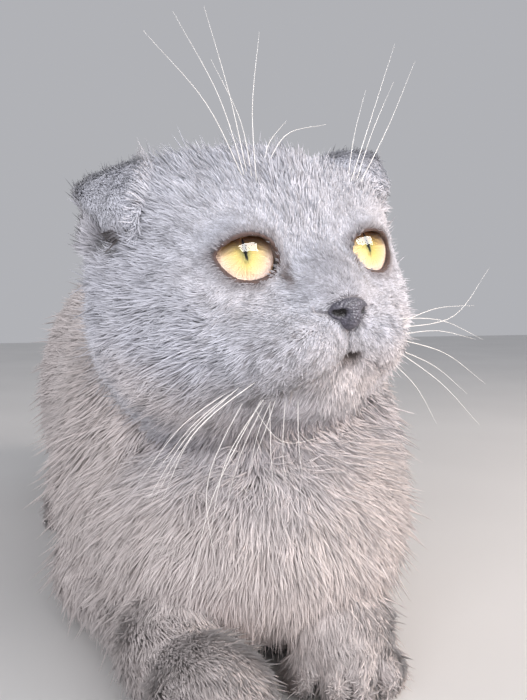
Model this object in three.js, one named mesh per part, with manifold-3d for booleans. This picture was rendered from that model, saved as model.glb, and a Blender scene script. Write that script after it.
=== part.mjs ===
// A young scottish fold cat, life size, lying in a crouch with its head up and turned to its left.
// Millimetres, +Z up. The origin is on the floor under the belly. The cat faces -Y and its left is +X.
// Every surface is the outside of the coat: the plush stands on skin that isn't modelled here.

import * as THREE from "three";
import { mergeVertices } from "three/addons/utils/BufferGeometryUtils.js";
import Module from "manifold-3d";

const wasm = await Module();
wasm.setup();

// Driving dimensions

const GAP = 0.3; // between parts that touch
const NECK_LENGTH = 25;
const FLOOR_SINK = 3.5; // what rests on the floor is modelled this much lower and cut off flat at Z = 0
const BELLY_SINK = 9; // the belly is soft and spreads further

const HEAD = {
  centre: [-1.5, -98, 124],
  turnDeg: 14, // to the cat's left
  raiseDeg: 7,
  tiltDeg: 5, // left eye higher
  halfWidth: 54.5, // over the cheeks
  halfDepth: 46, // of the skull, nose left out
  crown: 45, // top of the head above its centre
};
const EYE = {
  radius: 10.5,
  apart: 45, // between the two pupils
  height: 6, // above the head's centre
  forward: 34, // of the eyeball's centre
  splayDeg: 16, // each eye looks this much outward
  openWidth: 18.5,
  openHeight: 14,
  slantDeg: 10, // outer corner higher
  lid: 1.6, // thickness of the lids
};
const NOSE = { width: 11, height: 8.8, depth: 6, forward: 58, below: 12.6 };
const MOUTH = { below: 26, halfWidth: 22, groove: 0.8 };
// A folded ear runs along its crease from the inner to the outer end, and its flap hangs from there to the tip.
const EAR = {
  thickness: 4,
  left: { inner: [36, -10, 45.5], outer: [55, -14, 46], tip: [57, -27, 28] },
  right: { inner: [-36, -10, 42], outer: [-55, -4, 36], tip: [-57, -20, 19] },
};
// The trunk's parts from front to back: where each lies, how high its top is and how far it reaches.
const CHEST = { x: 5, y: -54, height: 124, halfWidth: 60, halfLength: 60 };
const MIDDLE = { x: 0, y: 28, height: 144, halfWidth: 61, halfLength: 84 };
const RUMP = { x: -5, y: 114, height: 149, halfWidth: 60, halfLength: 76 };
const BREAST = { x: 4, y: -93, z: 45, radii: [56, 49, 43] };
const SHOULDER = { x: 41, y: -58, z: 62, radii: [26, 42, 46] };
const ELBOW = { x: 50, z: 19, radius: 18 };
const PAW = { halfWidth: 17.5, height: 28, length: 46, toe: 7.8 };
const THIGH = { x: 38, y: 118, z: 52, radii: [27, 58, 56] };
const HIND_FOOT = { x: 49, heelY: 152, toeY: 50, radius: 13 };
const TAIL = { rootRadius: 13, tipRadius: 8.5, sideX: 92, tipY: 84 };

const LEFT = 1;
const RIGHT = -1;
const SIDES = [
  ["left", LEFT],
  ["right", RIGHT],
];
// Where the middle of each forepaw lies, and its elbow's Y. The right paw is further forward.
const FOREPAW_AT = { left: [24, -124], right: [-26, -150] };
const ELBOW_Y = { left: -28, right: -56 };

// Vectors and turns

const v = (x = 0, y = 0, z = 0) => new THREE.Vector3(x, y, z);
const rad = THREE.MathUtils.degToRad;
const { clamp, lerp } = THREE.MathUtils;
const UP = v(0, 0, 1);

const headPlace = new THREE.Matrix4().compose(
  v(...HEAD.centre),
  new THREE.Quaternion().setFromEuler(
    new THREE.Euler(-rad(HEAD.raiseDeg), -rad(HEAD.tiltDeg), rad(HEAD.turnDeg), "ZXY"),
  ),
  v(1, 1, 1),
);
const headPlaceBack = headPlace.clone().invert();

// Fields: each gives a point's distance outside a form, negative inside it

function ellipsoid(centre, radii, turn = new THREE.Euler()) {
  const back = new THREE.Quaternion().setFromEuler(turn).invert();
  const r = v(...radii);
  const middle = v(...centre);
  const q = v();
  return (p) => {
    q.subVectors(p, middle).applyQuaternion(back).divide(r);
    const k0 = q.length();
    const k1 = q.divide(r).length();
    return k1 < 1e-9 ? -Math.min(...radii) : (k0 * (k0 - 1)) / k1;
  };
}

function limb(from, to, fromRadius, toRadius) {
  const start = v(...from);
  const along = v(...to).sub(start);
  const lengthSq = along.lengthSq();
  const q = v();
  return (p) => {
    q.subVectors(p, start);
    const t = clamp(q.dot(along) / lengthSq, 0, 1);
    return q.addScaledVector(along, -t).length() - lerp(fromRadius, toRadius, t);
  };
}

// Joins forms with a fillet of about the given size where they meet.
function joined(fillet, ...fields) {
  const pair = (a, b) => {
    const h = Math.max(fillet - Math.abs(a - b), 0) / fillet;
    return Math.min(a, b) - (h * h * fillet) / 4;
  };
  return (p) => fields.map((field) => field(p)).reduce(pair);
}

const both = (make) => SIDES.map(([, side]) => make(side));

// The head, in its own frame: face towards -Y, the cat's left towards +X

const { halfWidth: headX, halfDepth: headY, crown: headZ } = HEAD;

const skull = joined(
  18,
  ellipsoid([0, 3, 3], [headX - 5, headY - 1, headZ - 6]),
  ...both((s) => ellipsoid([s * 15, 3, 16], [24, 33, 24])),
  ...both((s) => ellipsoid([s * 26, -6, -12], [headX - 27, 35, 30])),
  ellipsoid([0, -10, 16], [36, 27, 26]),
  ellipsoid([0, -8, -18], [40, 34, 24]),
  ...both((s) => ellipsoid([s * 34, -8, 22], [15, 20, 14])), // the broad temples under the ears
);
const muzzle = joined(
  5,
  joined(
    6,
    ellipsoid([0, -42, -8], [13, 15, 13]),
    ...both((s) => ellipsoid([s * 11.5, -41.5, -21], [15.5, 15, 12.5])),
  ),
  ellipsoid([0, -37, -32], [16, 13, 11]),
);
const headForm = joined(11, skull, muzzle);

// The body

// A round part of the trunk that reaches from its own height down into the floor.
function barrel({ x, y, height, halfWidth, halfLength }, clear = -FLOOR_SINK) {
  const rise = (height - clear) / 2;
  return ellipsoid([x, y, height - rise], [halfWidth, halfLength, rise]);
}

const trunk = joined(
  24,
  barrel(CHEST, 2),
  ellipsoid([BREAST.x, BREAST.y, BREAST.z], BREAST.radii),
  barrel(MIDDLE, -BELLY_SINK),
  barrel(RUMP, 0),
);
const neck = limb([2, -44, 80], [-1, -74, 110], 48, 42);

function forelegPoints(name, side) {
  const [pawX, pawY] = FOREPAW_AT[name];
  const elbow = v(CHEST.x + side * ELBOW.x, ELBOW_Y[name], ELBOW.z);
  const paw = v(pawX, pawY, PAW.height / 2 - FLOOR_SINK + 3);
  const wrist = elbow.clone().lerp(paw, 0.7).setZ(15.5);
  const aim = paw.clone().sub(wrist).setZ(0).normalize();
  return { elbow, wrist, paw, aim };
}

const across = (aim) => v(-aim.y, aim.x, 0);

function pawForm({ wrist, paw, aim }) {
  const side = across(aim);
  const heading = new THREE.Euler(0, 0, Math.atan2(aim.x, -aim.y));
  const toes = [-1.5, -0.5, 0.5, 1.5].map((k) => {
    const ahead = PAW.length * (Math.abs(k) > 1 ? 0.22 : 0.31);
    const at = paw.clone().addScaledVector(aim, ahead).addScaledVector(side, k * 8.4);
    const radii = [PAW.toe * 0.86, PAW.toe * 1.25, PAW.toe * 1.1];
    return ellipsoid([at.x, at.y, PAW.toe * 1.1 - 2.5], radii, heading);
  });
  const back = joined(
    8,
    ellipsoid(paw.toArray(), [PAW.halfWidth, PAW.length * 0.42, PAW.height / 2 + 1], heading),
    limb(wrist.toArray(), paw.toArray(), 15, 13),
  );
  return joined(4, back, joined(2.5, ...toes));
}

const forelegs = SIDES.map(([name, side]) => {
  const points = forelegPoints(name, side);
  const { elbow, wrist } = points;
  const { x, y, z, radii } = SHOULDER;
  const shoulder = joined(
    14,
    ellipsoid([CHEST.x + side * x, y, z], radii),
    limb([CHEST.x + side * 43, -56, 52], elbow.toArray(), 23, ELBOW.radius),
  );
  const form = joined(
    9,
    shoulder,
    limb(elbow.toArray(), wrist.toArray(), ELBOW.radius - 1, 15.5),
    pawForm(points),
  );
  return { name, side, points, form };
});

function hindFootPoints(side) {
  const { x, heelY, toeY, radius } = HIND_FOOT;
  const z = radius - FLOOR_SINK;
  return {
    heel: v(side * (x - 3), heelY, z + 2),
    wrist: v(side * x, toeY + 40, z + 1),
    paw: v(side * x, toeY + 22, z + 1),
    aim: v(0, -1, 0),
  };
}

const hindlegs = SIDES.map(([name, side]) => {
  const points = hindFootPoints(side);
  const { heel, wrist } = points;
  const form = joined(
    9,
    ellipsoid([side * THIGH.x, THIGH.y, THIGH.z], THIGH.radii, new THREE.Euler(rad(-12), 0, 0)),
    limb(heel.toArray(), wrist.toArray(), 13, HIND_FOOT.radius + 1),
    pawForm(points),
  );
  return { name, side, points, form };
});

const tailStub = { from: v(RUMP.x, 150, 54), to: v(RUMP.x, 200, 36) };
const rumpWithStub = joined(
  16,
  trunk,
  limb(tailStub.from.toArray(), tailStub.to.toArray(), 22, TAIL.rootRadius),
);

const headInPlace = (p) => headForm(p.clone().applyMatrix4(headPlaceBack));
const coat = joined(
  12,
  joined(14, joined(22, rumpWithStub, neck), headInPlace),
  ...forelegs.map((leg) => leg.form),
  ...hindlegs.map((leg) => leg.form),
);

// Meshes from fields

// Moves a point onto the field's surface, along the field's slope.
function settle(field, p, steps = 3) {
  const h = 0.05;
  for (let i = 0; i < steps; i++) {
    const f = field(p);
    const slope = v(
      field(v(p.x + h, p.y, p.z)) - field(v(p.x - h, p.y, p.z)),
      field(v(p.x, p.y + h, p.z)) - field(v(p.x, p.y - h, p.z)),
      field(v(p.x, p.y, p.z + h)) - field(v(p.x, p.y, p.z - h)),
    ).divideScalar(2 * h);
    if (slope.lengthSq() < 0.04) return p;
    p.addScaledVector(slope, -clamp(f / slope.lengthSq(), -2, 2));
  }
  return p;
}

const steps = (low, high, size) => {
  const count = Math.round((high - low) / size);
  return Array.from({ length: count + 1 }, (_, i) => lerp(low, high, i / count));
};

// One vertex in each grid cell that the surface passes through, and a quad for each grid edge that it cuts.
function net(field, xs, ys, zs) {
  const [nx, ny, nz] = [xs.length, ys.length, zs.length];
  const at = (i, j, k) => (k * ny + j) * nx + i;
  const value = new Float64Array(nx * ny * nz);
  const edgeOfGrid = (i, j, k) =>
    i === 0 || j === 0 || k === 0 || i === nx - 1 || j === ny - 1 || k === nz - 1;
  for (let k = 0; k < nz; k++)
    for (let j = 0; j < ny; j++)
      for (let i = 0; i < nx; i++) {
        const f = field(v(xs[i], ys[j], zs[k]));
        value[at(i, j, k)] = edgeOfGrid(i, j, k) ? Math.max(f, 1) : f;
      }
  const position = [];
  const index = [];
  const vertexOf = new Map();
  const corners = Array.from({ length: 8 }, (_, c) => [c & 1, (c >> 1) & 1, (c >> 2) & 1]);
  const edges = corners.flatMap((_, a) =>
    [1, 2, 4].filter((bit) => !(a & bit)).map((bit) => [a, a | bit]),
  );
  const corner = (i, j, k, c) => at(i + corners[c][0], j + corners[c][1], k + corners[c][2]);
  const place = (i, j, k, c) =>
    v(xs[i + corners[c][0]], ys[j + corners[c][1]], zs[k + corners[c][2]]);
  for (let k = 0; k < nz - 1; k++)
    for (let j = 0; j < ny - 1; j++)
      for (let i = 0; i < nx - 1; i++) {
        const cuts = edges.filter(
          ([a, b]) => value[corner(i, j, k, a)] < 0 !== value[corner(i, j, k, b)] < 0,
        );
        if (!cuts.length) continue;
        const middle = v();
        for (const [a, b] of cuts) {
          const [fa, fb] = [value[corner(i, j, k, a)], value[corner(i, j, k, b)]];
          middle.add(place(i, j, k, a).lerp(place(i, j, k, b), fa / (fa - fb)));
        }
        middle.divideScalar(cuts.length);
        const onRim =
          i === 0 || j === 0 || k === 0 || i === nx - 2 || j === ny - 2 || k === nz - 2;
        if (!onRim) settle(field, middle);
        vertexOf.set(at(i, j, k), position.length / 3);
        position.push(middle.x, middle.y, middle.z);
      }
  const quad = (cells, flip) => {
    const q = cells.map(([i, j, k]) => vertexOf.get(at(i, j, k)));
    if (flip) q.reverse();
    index.push(q[0], q[1], q[2], q[0], q[2], q[3]);
  };
  for (let k = 0; k < nz - 1; k++)
    for (let j = 0; j < ny - 1; j++)
      for (let i = 0; i < nx - 1; i++) {
        const here = value[at(i, j, k)] < 0;
        if (j && k && here !== value[at(i + 1, j, k)] < 0)
          quad([[i, j - 1, k - 1], [i, j, k - 1], [i, j, k], [i, j - 1, k]], !here);
        if (i && k && here !== value[at(i, j + 1, k)] < 0)
          quad([[i - 1, j, k - 1], [i - 1, j, k], [i, j, k], [i, j, k - 1]], !here);
        if (i && j && here !== value[at(i, j, k + 1)] < 0)
          quad([[i - 1, j - 1, k], [i, j - 1, k], [i, j, k], [i - 1, j, k]], !here);
      }
  return new THREE.BufferGeometry()
    .setAttribute("position", new THREE.Float32BufferAttribute(position, 3))
    .setIndex(index);
}

// A shell round the head: a sphere whose points are pushed out along rays to the coat, closest together on the face.
function headShell(grow = 0) {
  const field = (p) => coat(p.clone().applyMatrix4(headPlace)) - grow;
  const reach = 84;
  const crowding = 1.35;
  const shell = new THREE.SphereGeometry(1, 46, 30);
  const at = shell.getAttribute("position");
  const p = v();
  for (let i = 0; i < at.count; i++) {
    const d = v().fromBufferAttribute(at, i).normalize();
    const polar = Math.PI * (Math.acos(clamp(-d.y, -1, 1)) / Math.PI) ** crowding;
    const ring = Math.hypot(d.x, d.z) || 1;
    d.set((d.x / ring) * Math.sin(polar), -Math.cos(polar), (d.z / ring) * Math.sin(polar));
    let inside = 15;
    let outside = inside;
    while (outside < reach && field(p.copy(d).multiplyScalar(outside)) < 0) {
      inside = outside;
      outside += 2;
    }
    for (let n = 0; n < 14 && outside < reach; n++) {
      const half = (inside + outside) / 2;
      if (field(p.copy(d).multiplyScalar(half)) < 0) inside = half;
      else outside = half;
    }
    d.multiplyScalar(Math.min(outside, reach));
    at.setXYZ(i, d.x, d.y, d.z);
  }
  return shell;
}

// A closed skin over rings of points; a ring of one point is a tip or the middle of a flat end.
function loft(rings) {
  const position = rings.flat().flatMap((p) => p.toArray());
  const index = [];
  let start = 0;
  for (let i = 0; i + 1 < rings.length; i++) {
    const [a, b] = [rings[i].length, rings[i + 1].length];
    const next = start + a;
    const count = Math.max(a, b);
    for (let j = 0; j < count; j++) {
      const k = (j + 1) % count;
      if (a > 1) index.push(start + j, start + k, next + (b > 1 ? k : 0));
      if (b > 1) index.push(start + (a > 1 ? j : 0), next + k, next + j);
    }
    start = next;
  }
  return new THREE.BufferGeometry()
    .setAttribute("position", new THREE.Float32BufferAttribute(position, 3))
    .setIndex(index);
}

// A round tube whose radius changes along its curve, from share `from` to share `to` of it.
function taperedTube(curve, radiusAt, segments, sides, from = 0, to = 1) {
  const frames = curve.computeFrenetFrames(200, false);
  const rings = [];
  for (let i = 0; i <= segments; i++) {
    const t = lerp(from, to, i / segments);
    const f = Math.round(t * 200);
    const middle = curve.getPointAt(t);
    const r = radiusAt(t);
    if (i === 0 || (i === segments && r > 0)) rings.push([middle]);
    if (r > 0) {
      const ring = Array.from({ length: sides }, (_, j) => {
        const a = (2 * Math.PI * j) / sides;
        return middle
          .clone()
          .addScaledVector(frames.normals[f], r * Math.cos(a))
          .addScaledVector(frames.binormals[f], r * Math.sin(a));
      });
      if (i === segments) rings.splice(rings.length - 1, 0, ring);
      else rings.push(ring);
    } else rings.push([middle]);
  }
  return loft(rings);
}

// Solids

function solid(geometry) {
  const bare = geometry.clone();
  for (const name of ["normal", "uv"]) bare.deleteAttribute(name);
  const one = mergeVertices(bare, 1e-4);
  const build = (triVerts) =>
    new wasm.Manifold(
      new wasm.Mesh({ numProp: 3, vertProperties: one.attributes.position.array, triVerts }),
    );
  const triVerts = new Uint32Array(one.index.array);
  const made = build(triVerts);
  return made.volume() > 0 ? made : build(triVerts.reverse());
}

const union = (solids) => solids.reduce((a, b) => a.add(b));

function largest(made) {
  return made.decompose().reduce((a, b) => (b.volume() > a.volume() ? b : a));
}

function geometryOf(made) {
  const { vertProperties, triVerts } = made.getMesh();
  return new THREE.BufferGeometry()
    .setAttribute("position", new THREE.BufferAttribute(vertProperties, 3))
    .setIndex(new THREE.BufferAttribute(triVerts, 1));
}

// Everything beyond a plane, from `grow` before it.
function beyond(point, normal, grow = 0) {
  const size = 600;
  const box = new THREE.BoxGeometry(size, size, size).translate(0, 0, size / 2 - grow);
  const turn = new THREE.Quaternion().setFromUnitVectors(UP, normal.clone().normalize());
  return solid(box.applyQuaternion(turn).translate(point.x, point.y, point.z));
}

function ball(centre, radii, wide = 16, high = 10) {
  return solid(new THREE.SphereGeometry(1, wide, high).scale(...radii).translate(...centre));
}

function capsule(from, to, radius) {
  const along = to.clone().sub(from);
  const turn = new THREE.Quaternion().setFromUnitVectors(v(0, 1, 0), along.clone().normalize());
  const middle = from.clone().lerp(to, 0.5);
  return solid(
    new THREE.CapsuleGeometry(radius, along.length(), 4, 14)
      .applyQuaternion(turn)
      .translate(middle.x, middle.y, middle.z),
  );
}

// Where the body is parted. Each region can be grown, to part what is cut later by the gap.

const floor = beyond(v(0, 0, 0), v(0, 0, -1));
const headFoot = {
  point: v(0, -30, -46).applyMatrix4(headPlace),
  normal: v(0, 58, -85).transformDirection(headPlace),
};
const neckFoot = {
  point: headFoot.point.clone().addScaledVector(headFoot.normal, NECK_LENGTH),
  normal: headFoot.normal,
};
const waist = { point: v(0, -24, 0), normal: v(0, 1, 0) };
const tailRoot = {
  point: tailStub.from.clone().lerp(tailStub.to, 0.86),
  normal: tailStub.to.clone().sub(tailStub.from).normalize(),
};

const regions = [];
for (const { name, side, points } of forelegs) {
  const { elbow, wrist, paw, aim } = points;
  const toes = paw.clone().addScaledVector(aim, PAW.length * 0.6);
  const elbowFront = elbow.clone().addScaledVector(aim, 8);
  const middle = v(CHEST.x + side * (SHOULDER.x + 6), SHOULDER.y, SHOULDER.z);
  regions.push(
    {
      name: `forepaw_${name}`,
      at: (grow) => capsule(wrist, toes, 25 + grow).intersect(beyond(wrist, aim, grow)),
      fine: { middle: paw, reach: [36, 44], cell: 7.5 },
    },
    {
      name: `forearm_${name}`,
      at: (grow) => capsule(elbow, paw, 24 + grow).intersect(beyond(elbowFront, aim, grow)),
    },
    {
      name: `upper_arm_${name}`,
      at: (grow) =>
        ball(middle.toArray(), SHOULDER.radii.map((r) => r + 2 + grow)).add(
          capsule(middle.clone().setZ(50), elbow, 25 + grow),
        ),
    },
  );
}
for (const { name, side, points } of hindlegs) {
  const { heel, paw, aim } = points;
  const toes = paw.clone().addScaledVector(aim, PAW.length * 0.25);
  const { x, y, z, radii } = THIGH;
  regions.push(
    {
      name: `hind_foot_${name}`,
      at: (grow) => capsule(heel, toes, HIND_FOOT.radius + 6.5 + grow),
      fine: { middle: heel.clone().lerp(paw, 0.5), reach: [32, 76], cell: 10 },
    },
    {
      name: `thigh_${name}`,
      at: (grow) =>
        ball([side * (x + 6), y, z], radii.map((r) => r + 3 + grow)).add(
          capsule(heel, paw, 30 + grow),
        ),
    },
  );
}
regions.push(
  { name: "neck", at: (grow) => beyond(neckFoot.point, neckFoot.normal.clone().negate(), grow) },
  { name: "belly", at: (grow) => beyond(waist.point, waist.normal, grow) },
  { name: "chest", at: () => beyond(v(0, 0, -50), UP) },
);

const wholeBody = solid(net(coat, steps(-99, 99, 15), steps(-198, 228, 15), steps(-16, 162, 14)))
  .subtract(floor)
  .intersect(beyond(headFoot.point, headFoot.normal))
  .subtract(beyond(tailRoot.point, tailRoot.normal, GAP));

const coatNodes = {};
let rest = wholeBody;
const taken = [];
for (const { name, at, fine } of regions) {
  let from = rest;
  if (fine) {
    const { middle, reach, cell } = fine;
    const [x, y, z] = middle.toArray();
    const close = net(
      coat,
      steps(x - reach[0], x + reach[0], cell),
      steps(y - reach[1], y + reach[1], cell),
      steps(z - 24, z + 30, cell),
    );
    from = taken.reduce((left, cut) => left.subtract(cut), solid(close).subtract(floor));
  }
  coatNodes[name] = largest(from.intersect(at(0)));
  taken.push(at(GAP));
  rest = rest.subtract(taken.at(-1));
}

// Tail, laid round the left haunch

const tailRest = TAIL.rootRadius - FLOOR_SINK + 2;
const tailLine = new THREE.CatmullRomCurve3([
  tailRoot.point.clone(),
  tailRoot.point.clone().addScaledVector(tailRoot.normal, 12),
  v(10, 222, tailRest + 3),
  v(38, 230, tailRest),
  v(70, 218, tailRest),
  v(TAIL.sideX - 4, 184, tailRest),
  v(TAIL.sideX, 140, tailRest - 0.5),
  v(TAIL.sideX - 2, TAIL.tipY, tailRest - 3),
]);
const tailRadius = (t) => {
  const taper = lerp(TAIL.rootRadius, TAIL.tipRadius, t ** 2);
  const tip = Math.max(0, (t - 0.93) / 0.07);
  return taper * Math.sqrt(Math.max(0, 1 - tip ** 2));
};
const tailGap = GAP / tailLine.getLength();
["tail_root", "tail_middle", "tail_tip"].forEach((name, i) => {
  const from = i === 0 ? 0 : i / 3 + tailGap;
  const tube = taperedTube(tailLine, tailRadius, i === 2 ? 8 : 6, 12, from, (i + 1) / 3);
  coatNodes[name] = solid(tube).subtract(floor);
});

// Head, in its own frame

const shell = solid(headShell());
const shellWithGap = solid(headShell(GAP));
const toHeadFrame = (plane, grow) =>
  beyond(
    plane.point.clone().applyMatrix4(headPlaceBack),
    plane.normal.clone().transformDirection(headPlaceBack),
    grow,
  );

// How far forward the coat lies at a place on the face.
function onFace(x, z, sink = 0) {
  let y = -90;
  for (let i = 0; i < 80; i++) y += Math.max(headForm(v(x, y, z)) * 0.7, 0);
  return v(x, y + sink, z);
}

function eyeFrame(side) {
  const middle = v((side * EYE.apart) / 2, -EYE.forward, EYE.height);
  middle.x -= side * Math.sin(rad(EYE.splayDeg)) * EYE.radius * 0.5;
  const turn = new THREE.Quaternion().setFromEuler(
    new THREE.Euler(0, -side * rad(EYE.slantDeg), side * rad(EYE.splayDeg), "ZXY"),
  );
  return { middle, turn };
}

// The opening between the lids, which widens towards the front.
function eyeOpening(side) {
  const { middle, turn } = eyeFrame(side);
  const [w, h] = [EYE.openWidth / 2, EYE.openHeight / 2];
  const count = 24;
  const almond = Array.from({ length: count }, (_, i) => {
    const a = (2 * Math.PI * i) / count;
    const height = Math.sin(a) > 0 ? h : h * 0.95;
    return [w * Math.cos(a), height * Math.sin(a) * Math.abs(Math.sin(a)) ** 0.25];
  });
  const ring = (depth, share) =>
    almond.map(([x, z]) => v(x * share * side, -depth, z * share).applyQuaternion(turn).add(middle));
  const near = v(0, -2, 0).applyQuaternion(turn).add(middle);
  const far = v(0, -26, 0).applyQuaternion(turn).add(middle);
  return solid(loft([[near], ring(2, 1), ring(EYE.radius - 2, 1), ring(26, 1.75), [far]]));
}

// The nose pad: a rounded wedge, narrow below.
function nosePad(grow) {
  const { width, height, depth, forward, below } = NOSE;
  const [w, h] = [width / 2 + grow, height / 2 + grow];
  const outline = new THREE.Shape();
  outline.moveTo(-w, h * 0.55);
  outline.quadraticCurveTo(-w, h, -w * 0.55, h);
  outline.quadraticCurveTo(0, h * 0.86, w * 0.55, h);
  outline.quadraticCurveTo(w, h, w, h * 0.55);
  outline.quadraticCurveTo(w * 0.85, -h * 0.15, w * 0.28, -h);
  outline.lineTo(-w * 0.28, -h);
  outline.quadraticCurveTo(-w * 0.85, -h * 0.15, -w, h * 0.55);
  const pad = new THREE.ExtrudeGeometry(outline, {
    depth: depth + grow,
    curveSegments: 4,
    bevelThickness: 1.2,
    bevelSize: 0.8,
    bevelOffset: -0.8,
    bevelSegments: 2,
  });
  pad.translate(0, 0, -depth).rotateX(rad(90 + 12));
  return solid(pad.translate(0, -forward + 1.2, -below));
}

function tube(points, radius, segments) {
  const line = new THREE.CatmullRomCurve3(points);
  return solid(taperedTube(line, () => radius, segments, 6));
}

const nostrils = both((side) =>
  tube(
    [v(side * 2.3, -60.5, -13.9), v(side * 3.5, -56.5, -13.4), v(side * 5.2, -53.5, -12.8)],
    1.1,
    4,
  ),
);

// The line of the mouth, with the cleft that comes down to it from the nose.
const mouthLine = [-1, -0.62, -0.28, 0, 0.28, 0.62, 1].map((share) => {
  const drop = 5 * Math.sin(Math.min(Math.abs(share) * 2.6, Math.PI * 0.62));
  return onFace(share * MOUTH.halfWidth, -MOUTH.below - drop, 0.2);
});
const mouth = tube(mouthLine, MOUTH.groove, 22);
const cleft = tube(
  [0, 0.5, 1].map((t) => onFace(0, lerp(-NOSE.below - NOSE.height / 2, -MOUTH.below, t), 0.1)),
  MOUTH.groove * 0.8,
  4,
);

// A folded ear rises from the head behind its crease, turns over there and hangs forward and down over its opening.
function earFrame(name) {
  const [inner, outer, tip] = [EAR[name].inner, EAR[name].outer, EAR[name].tip].map((p) => v(...p));
  const crease = inner.clone().lerp(outer, 0.5);
  const along = outer.clone().sub(inner).normalize();
  const down = tip.clone().sub(crease);
  down.addScaledVector(along, -down.dot(along));
  const fall = down.length();
  down.normalize();
  const out = v().crossVectors(along, down);
  if (out.dot(crease) < 0) out.negate();
  return { crease, along, down, out, fall, halfWidth: inner.distanceTo(outer) / 2 };
}

function earFlap(name) {
  const { crease, along, down, out, fall, halfWidth } = earFrame(name);
  // In the plane square to the crease: X down the flap, Y outward.
  const path = new THREE.CatmullRomCurve3([
    v(6, -17),
    v(0.5, -9),
    v(-0.5, -3),
    v(3, 0),
    v(fall * 0.45, 0.5),
    v(fall * 0.75, -1),
    v(fall, -3.5),
  ]);
  const stations = 11;
  const rings = [];
  for (let i = 0; i <= stations; i++) {
    const t = i / stations;
    const p = path.getPoint(t);
    const d = path.getTangent(t);
    const w = (halfWidth + 1) * Math.sqrt(Math.max(0, 1 - Math.max(0, (t - 0.45) / 0.55) ** 2.6));
    const place = (across, lift) => {
      const q = v(p.x - d.y * lift, p.y + d.x * lift - 0.026 * across ** 2 * Math.min(1, t * 2));
      return crease
        .clone()
        .addScaledVector(along, across)
        .addScaledVector(down, q.x)
        .addScaledVector(out, q.y);
    };
    if (i === 0 || w < 0.5) rings.push([place(0, 0)]);
    if (w < 0.5) continue;
    rings.push(
      Array.from({ length: 14 }, (_, j) => {
        const a = (2 * Math.PI * j) / 14;
        return place(w * Math.cos(a), (EAR.thickness / 2) * Math.sin(a));
      }),
    );
  }
  return solid(loft(rings));
}

const earHollow = (name) => {
  const { crease, down, out, fall } = earFrame(name);
  const at = crease.clone().addScaledVector(down, fall * 0.5).addScaledVector(out, -9);
  return ball(at.toArray(), [8, 8, 8], 14, 8);
};

// Whiskers: on the pads in rows, and above each eye. They taper to a fine tip.
function whisker(root, aim, length, sag) {
  const tip = root.clone().addScaledVector(aim, length);
  tip.z -= sag;
  const bow = root.clone().addScaledVector(aim, length * 0.55);
  bow.z += sag * 0.2;
  const start = root.clone().addScaledVector(aim, -4);
  const line = new THREE.CatmullRomCurve3([start, root, bow, tip]);
  return solid(taperedTube(line, (t) => lerp(0.34, 0.12, t) * (t < 1 ? 1 : 0), 4, 4));
}

const whiskers = [];
for (const side of [LEFT, RIGHT]) {
  for (let row = 0; row < 3; row++)
    for (let column = 0; column < 3; column++) {
      const root = onFace(side * (15 + 4.2 * column), -15 - 5.2 * row + 1.2 * column, 1);
      const droop = side === LEFT ? 24 - 22 * row : -24 - 22 * row;
      const back = 6 + 17 * column;
      const aim = v(
        side * Math.cos(rad(droop)) * Math.cos(rad(back)),
        (Math.sin(rad(back)) - 0.35) * Math.cos(rad(droop)),
        Math.sin(rad(droop)),
      ).normalize();
      whiskers.push(whisker(root, aim, 46 + 9 * column - 3 * row, side === LEFT ? -3 : 9));
    }
  for (let i = 0; i < 4; i++) {
    const root = onFace(side * (12 + 2.6 * i), 28 - 1.2 * i, 1);
    const aim = v(side * (0.12 + 0.16 * i), -0.4 + 0.05 * i, 1).normalize();
    whiskers.push(whisker(root, aim, 47 - 3 * i, -2));
  }
}

const headNodes = {};
let headSolid = shell.subtract(toHeadFrame(headFoot, GAP));
for (const [name, side] of SIDES) {
  const { middle } = eyeFrame(side);
  const around = (radius, wide, high) => ball(middle.toArray(), Array(3).fill(radius), wide, high);
  headSolid = headSolid
    .add(around(EYE.radius + EYE.lid, 22, 14))
    .subtract(around(EYE.radius + GAP, 18, 12))
    .subtract(eyeOpening(side))
    .subtract(earHollow(name));
  headNodes[`eye_${name}`] = around(EYE.radius, 16, 10);
  headNodes[`ear_${name}`] = largest(earFlap(name).subtract(shellWithGap));
}
headNodes.nose = union([nosePad(0)]).subtract(union(nostrils));
headSolid = headSolid.subtract(nosePad(GAP)).subtract(union([mouth, cleft, ...nostrils]));
headNodes.head = union([largest(headSolid), ...whiskers]);

// Scene graph

const materialOf = {
  coat: () => new THREE.MeshStandardMaterial({ color: "#a5a0a4", roughness: 0.95, metalness: 0 }),
  eye: () => new THREE.MeshStandardMaterial({ color: "#d9b95a", roughness: 0.1, metalness: 0 }),
  nose: () => new THREE.MeshStandardMaterial({ color: "#57535c", roughness: 0.6, metalness: 0 }),
};

const cat = new THREE.Group();
const headGroup = new THREE.Group();
headGroup.applyMatrix4(headPlace);
cat.add(headGroup);

function addNodes(group, nodes) {
  for (const [name, made] of Object.entries(nodes)) {
    const kind = Object.keys(materialOf).find((key) => name.startsWith(key)) ?? "coat";
    const mesh = new THREE.Mesh(geometryOf(largest(made)), materialOf[kind]());
    mesh.name = name;
    group.add(mesh);
  }
}
addNodes(cat, coatNodes);
addNodes(headGroup, headNodes);

export default cat;
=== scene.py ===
# %% [markdown]
# # A young scottish fold cat, life size
# The cat lies in a crouch with its head up and turned to its left. This lesson builds its looks round a
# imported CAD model: one skin made from a field, eyes, nose, whiskers, and a plush coat of many thin solid
# tufts. Blender works in metres. The shapes below are worked out in millimetres and scaled when they become
# meshes. In all of them p holds points in the body's frame, q points in the head's own and e points in an
# eye's.

# %% Load the frame
import math

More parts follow.
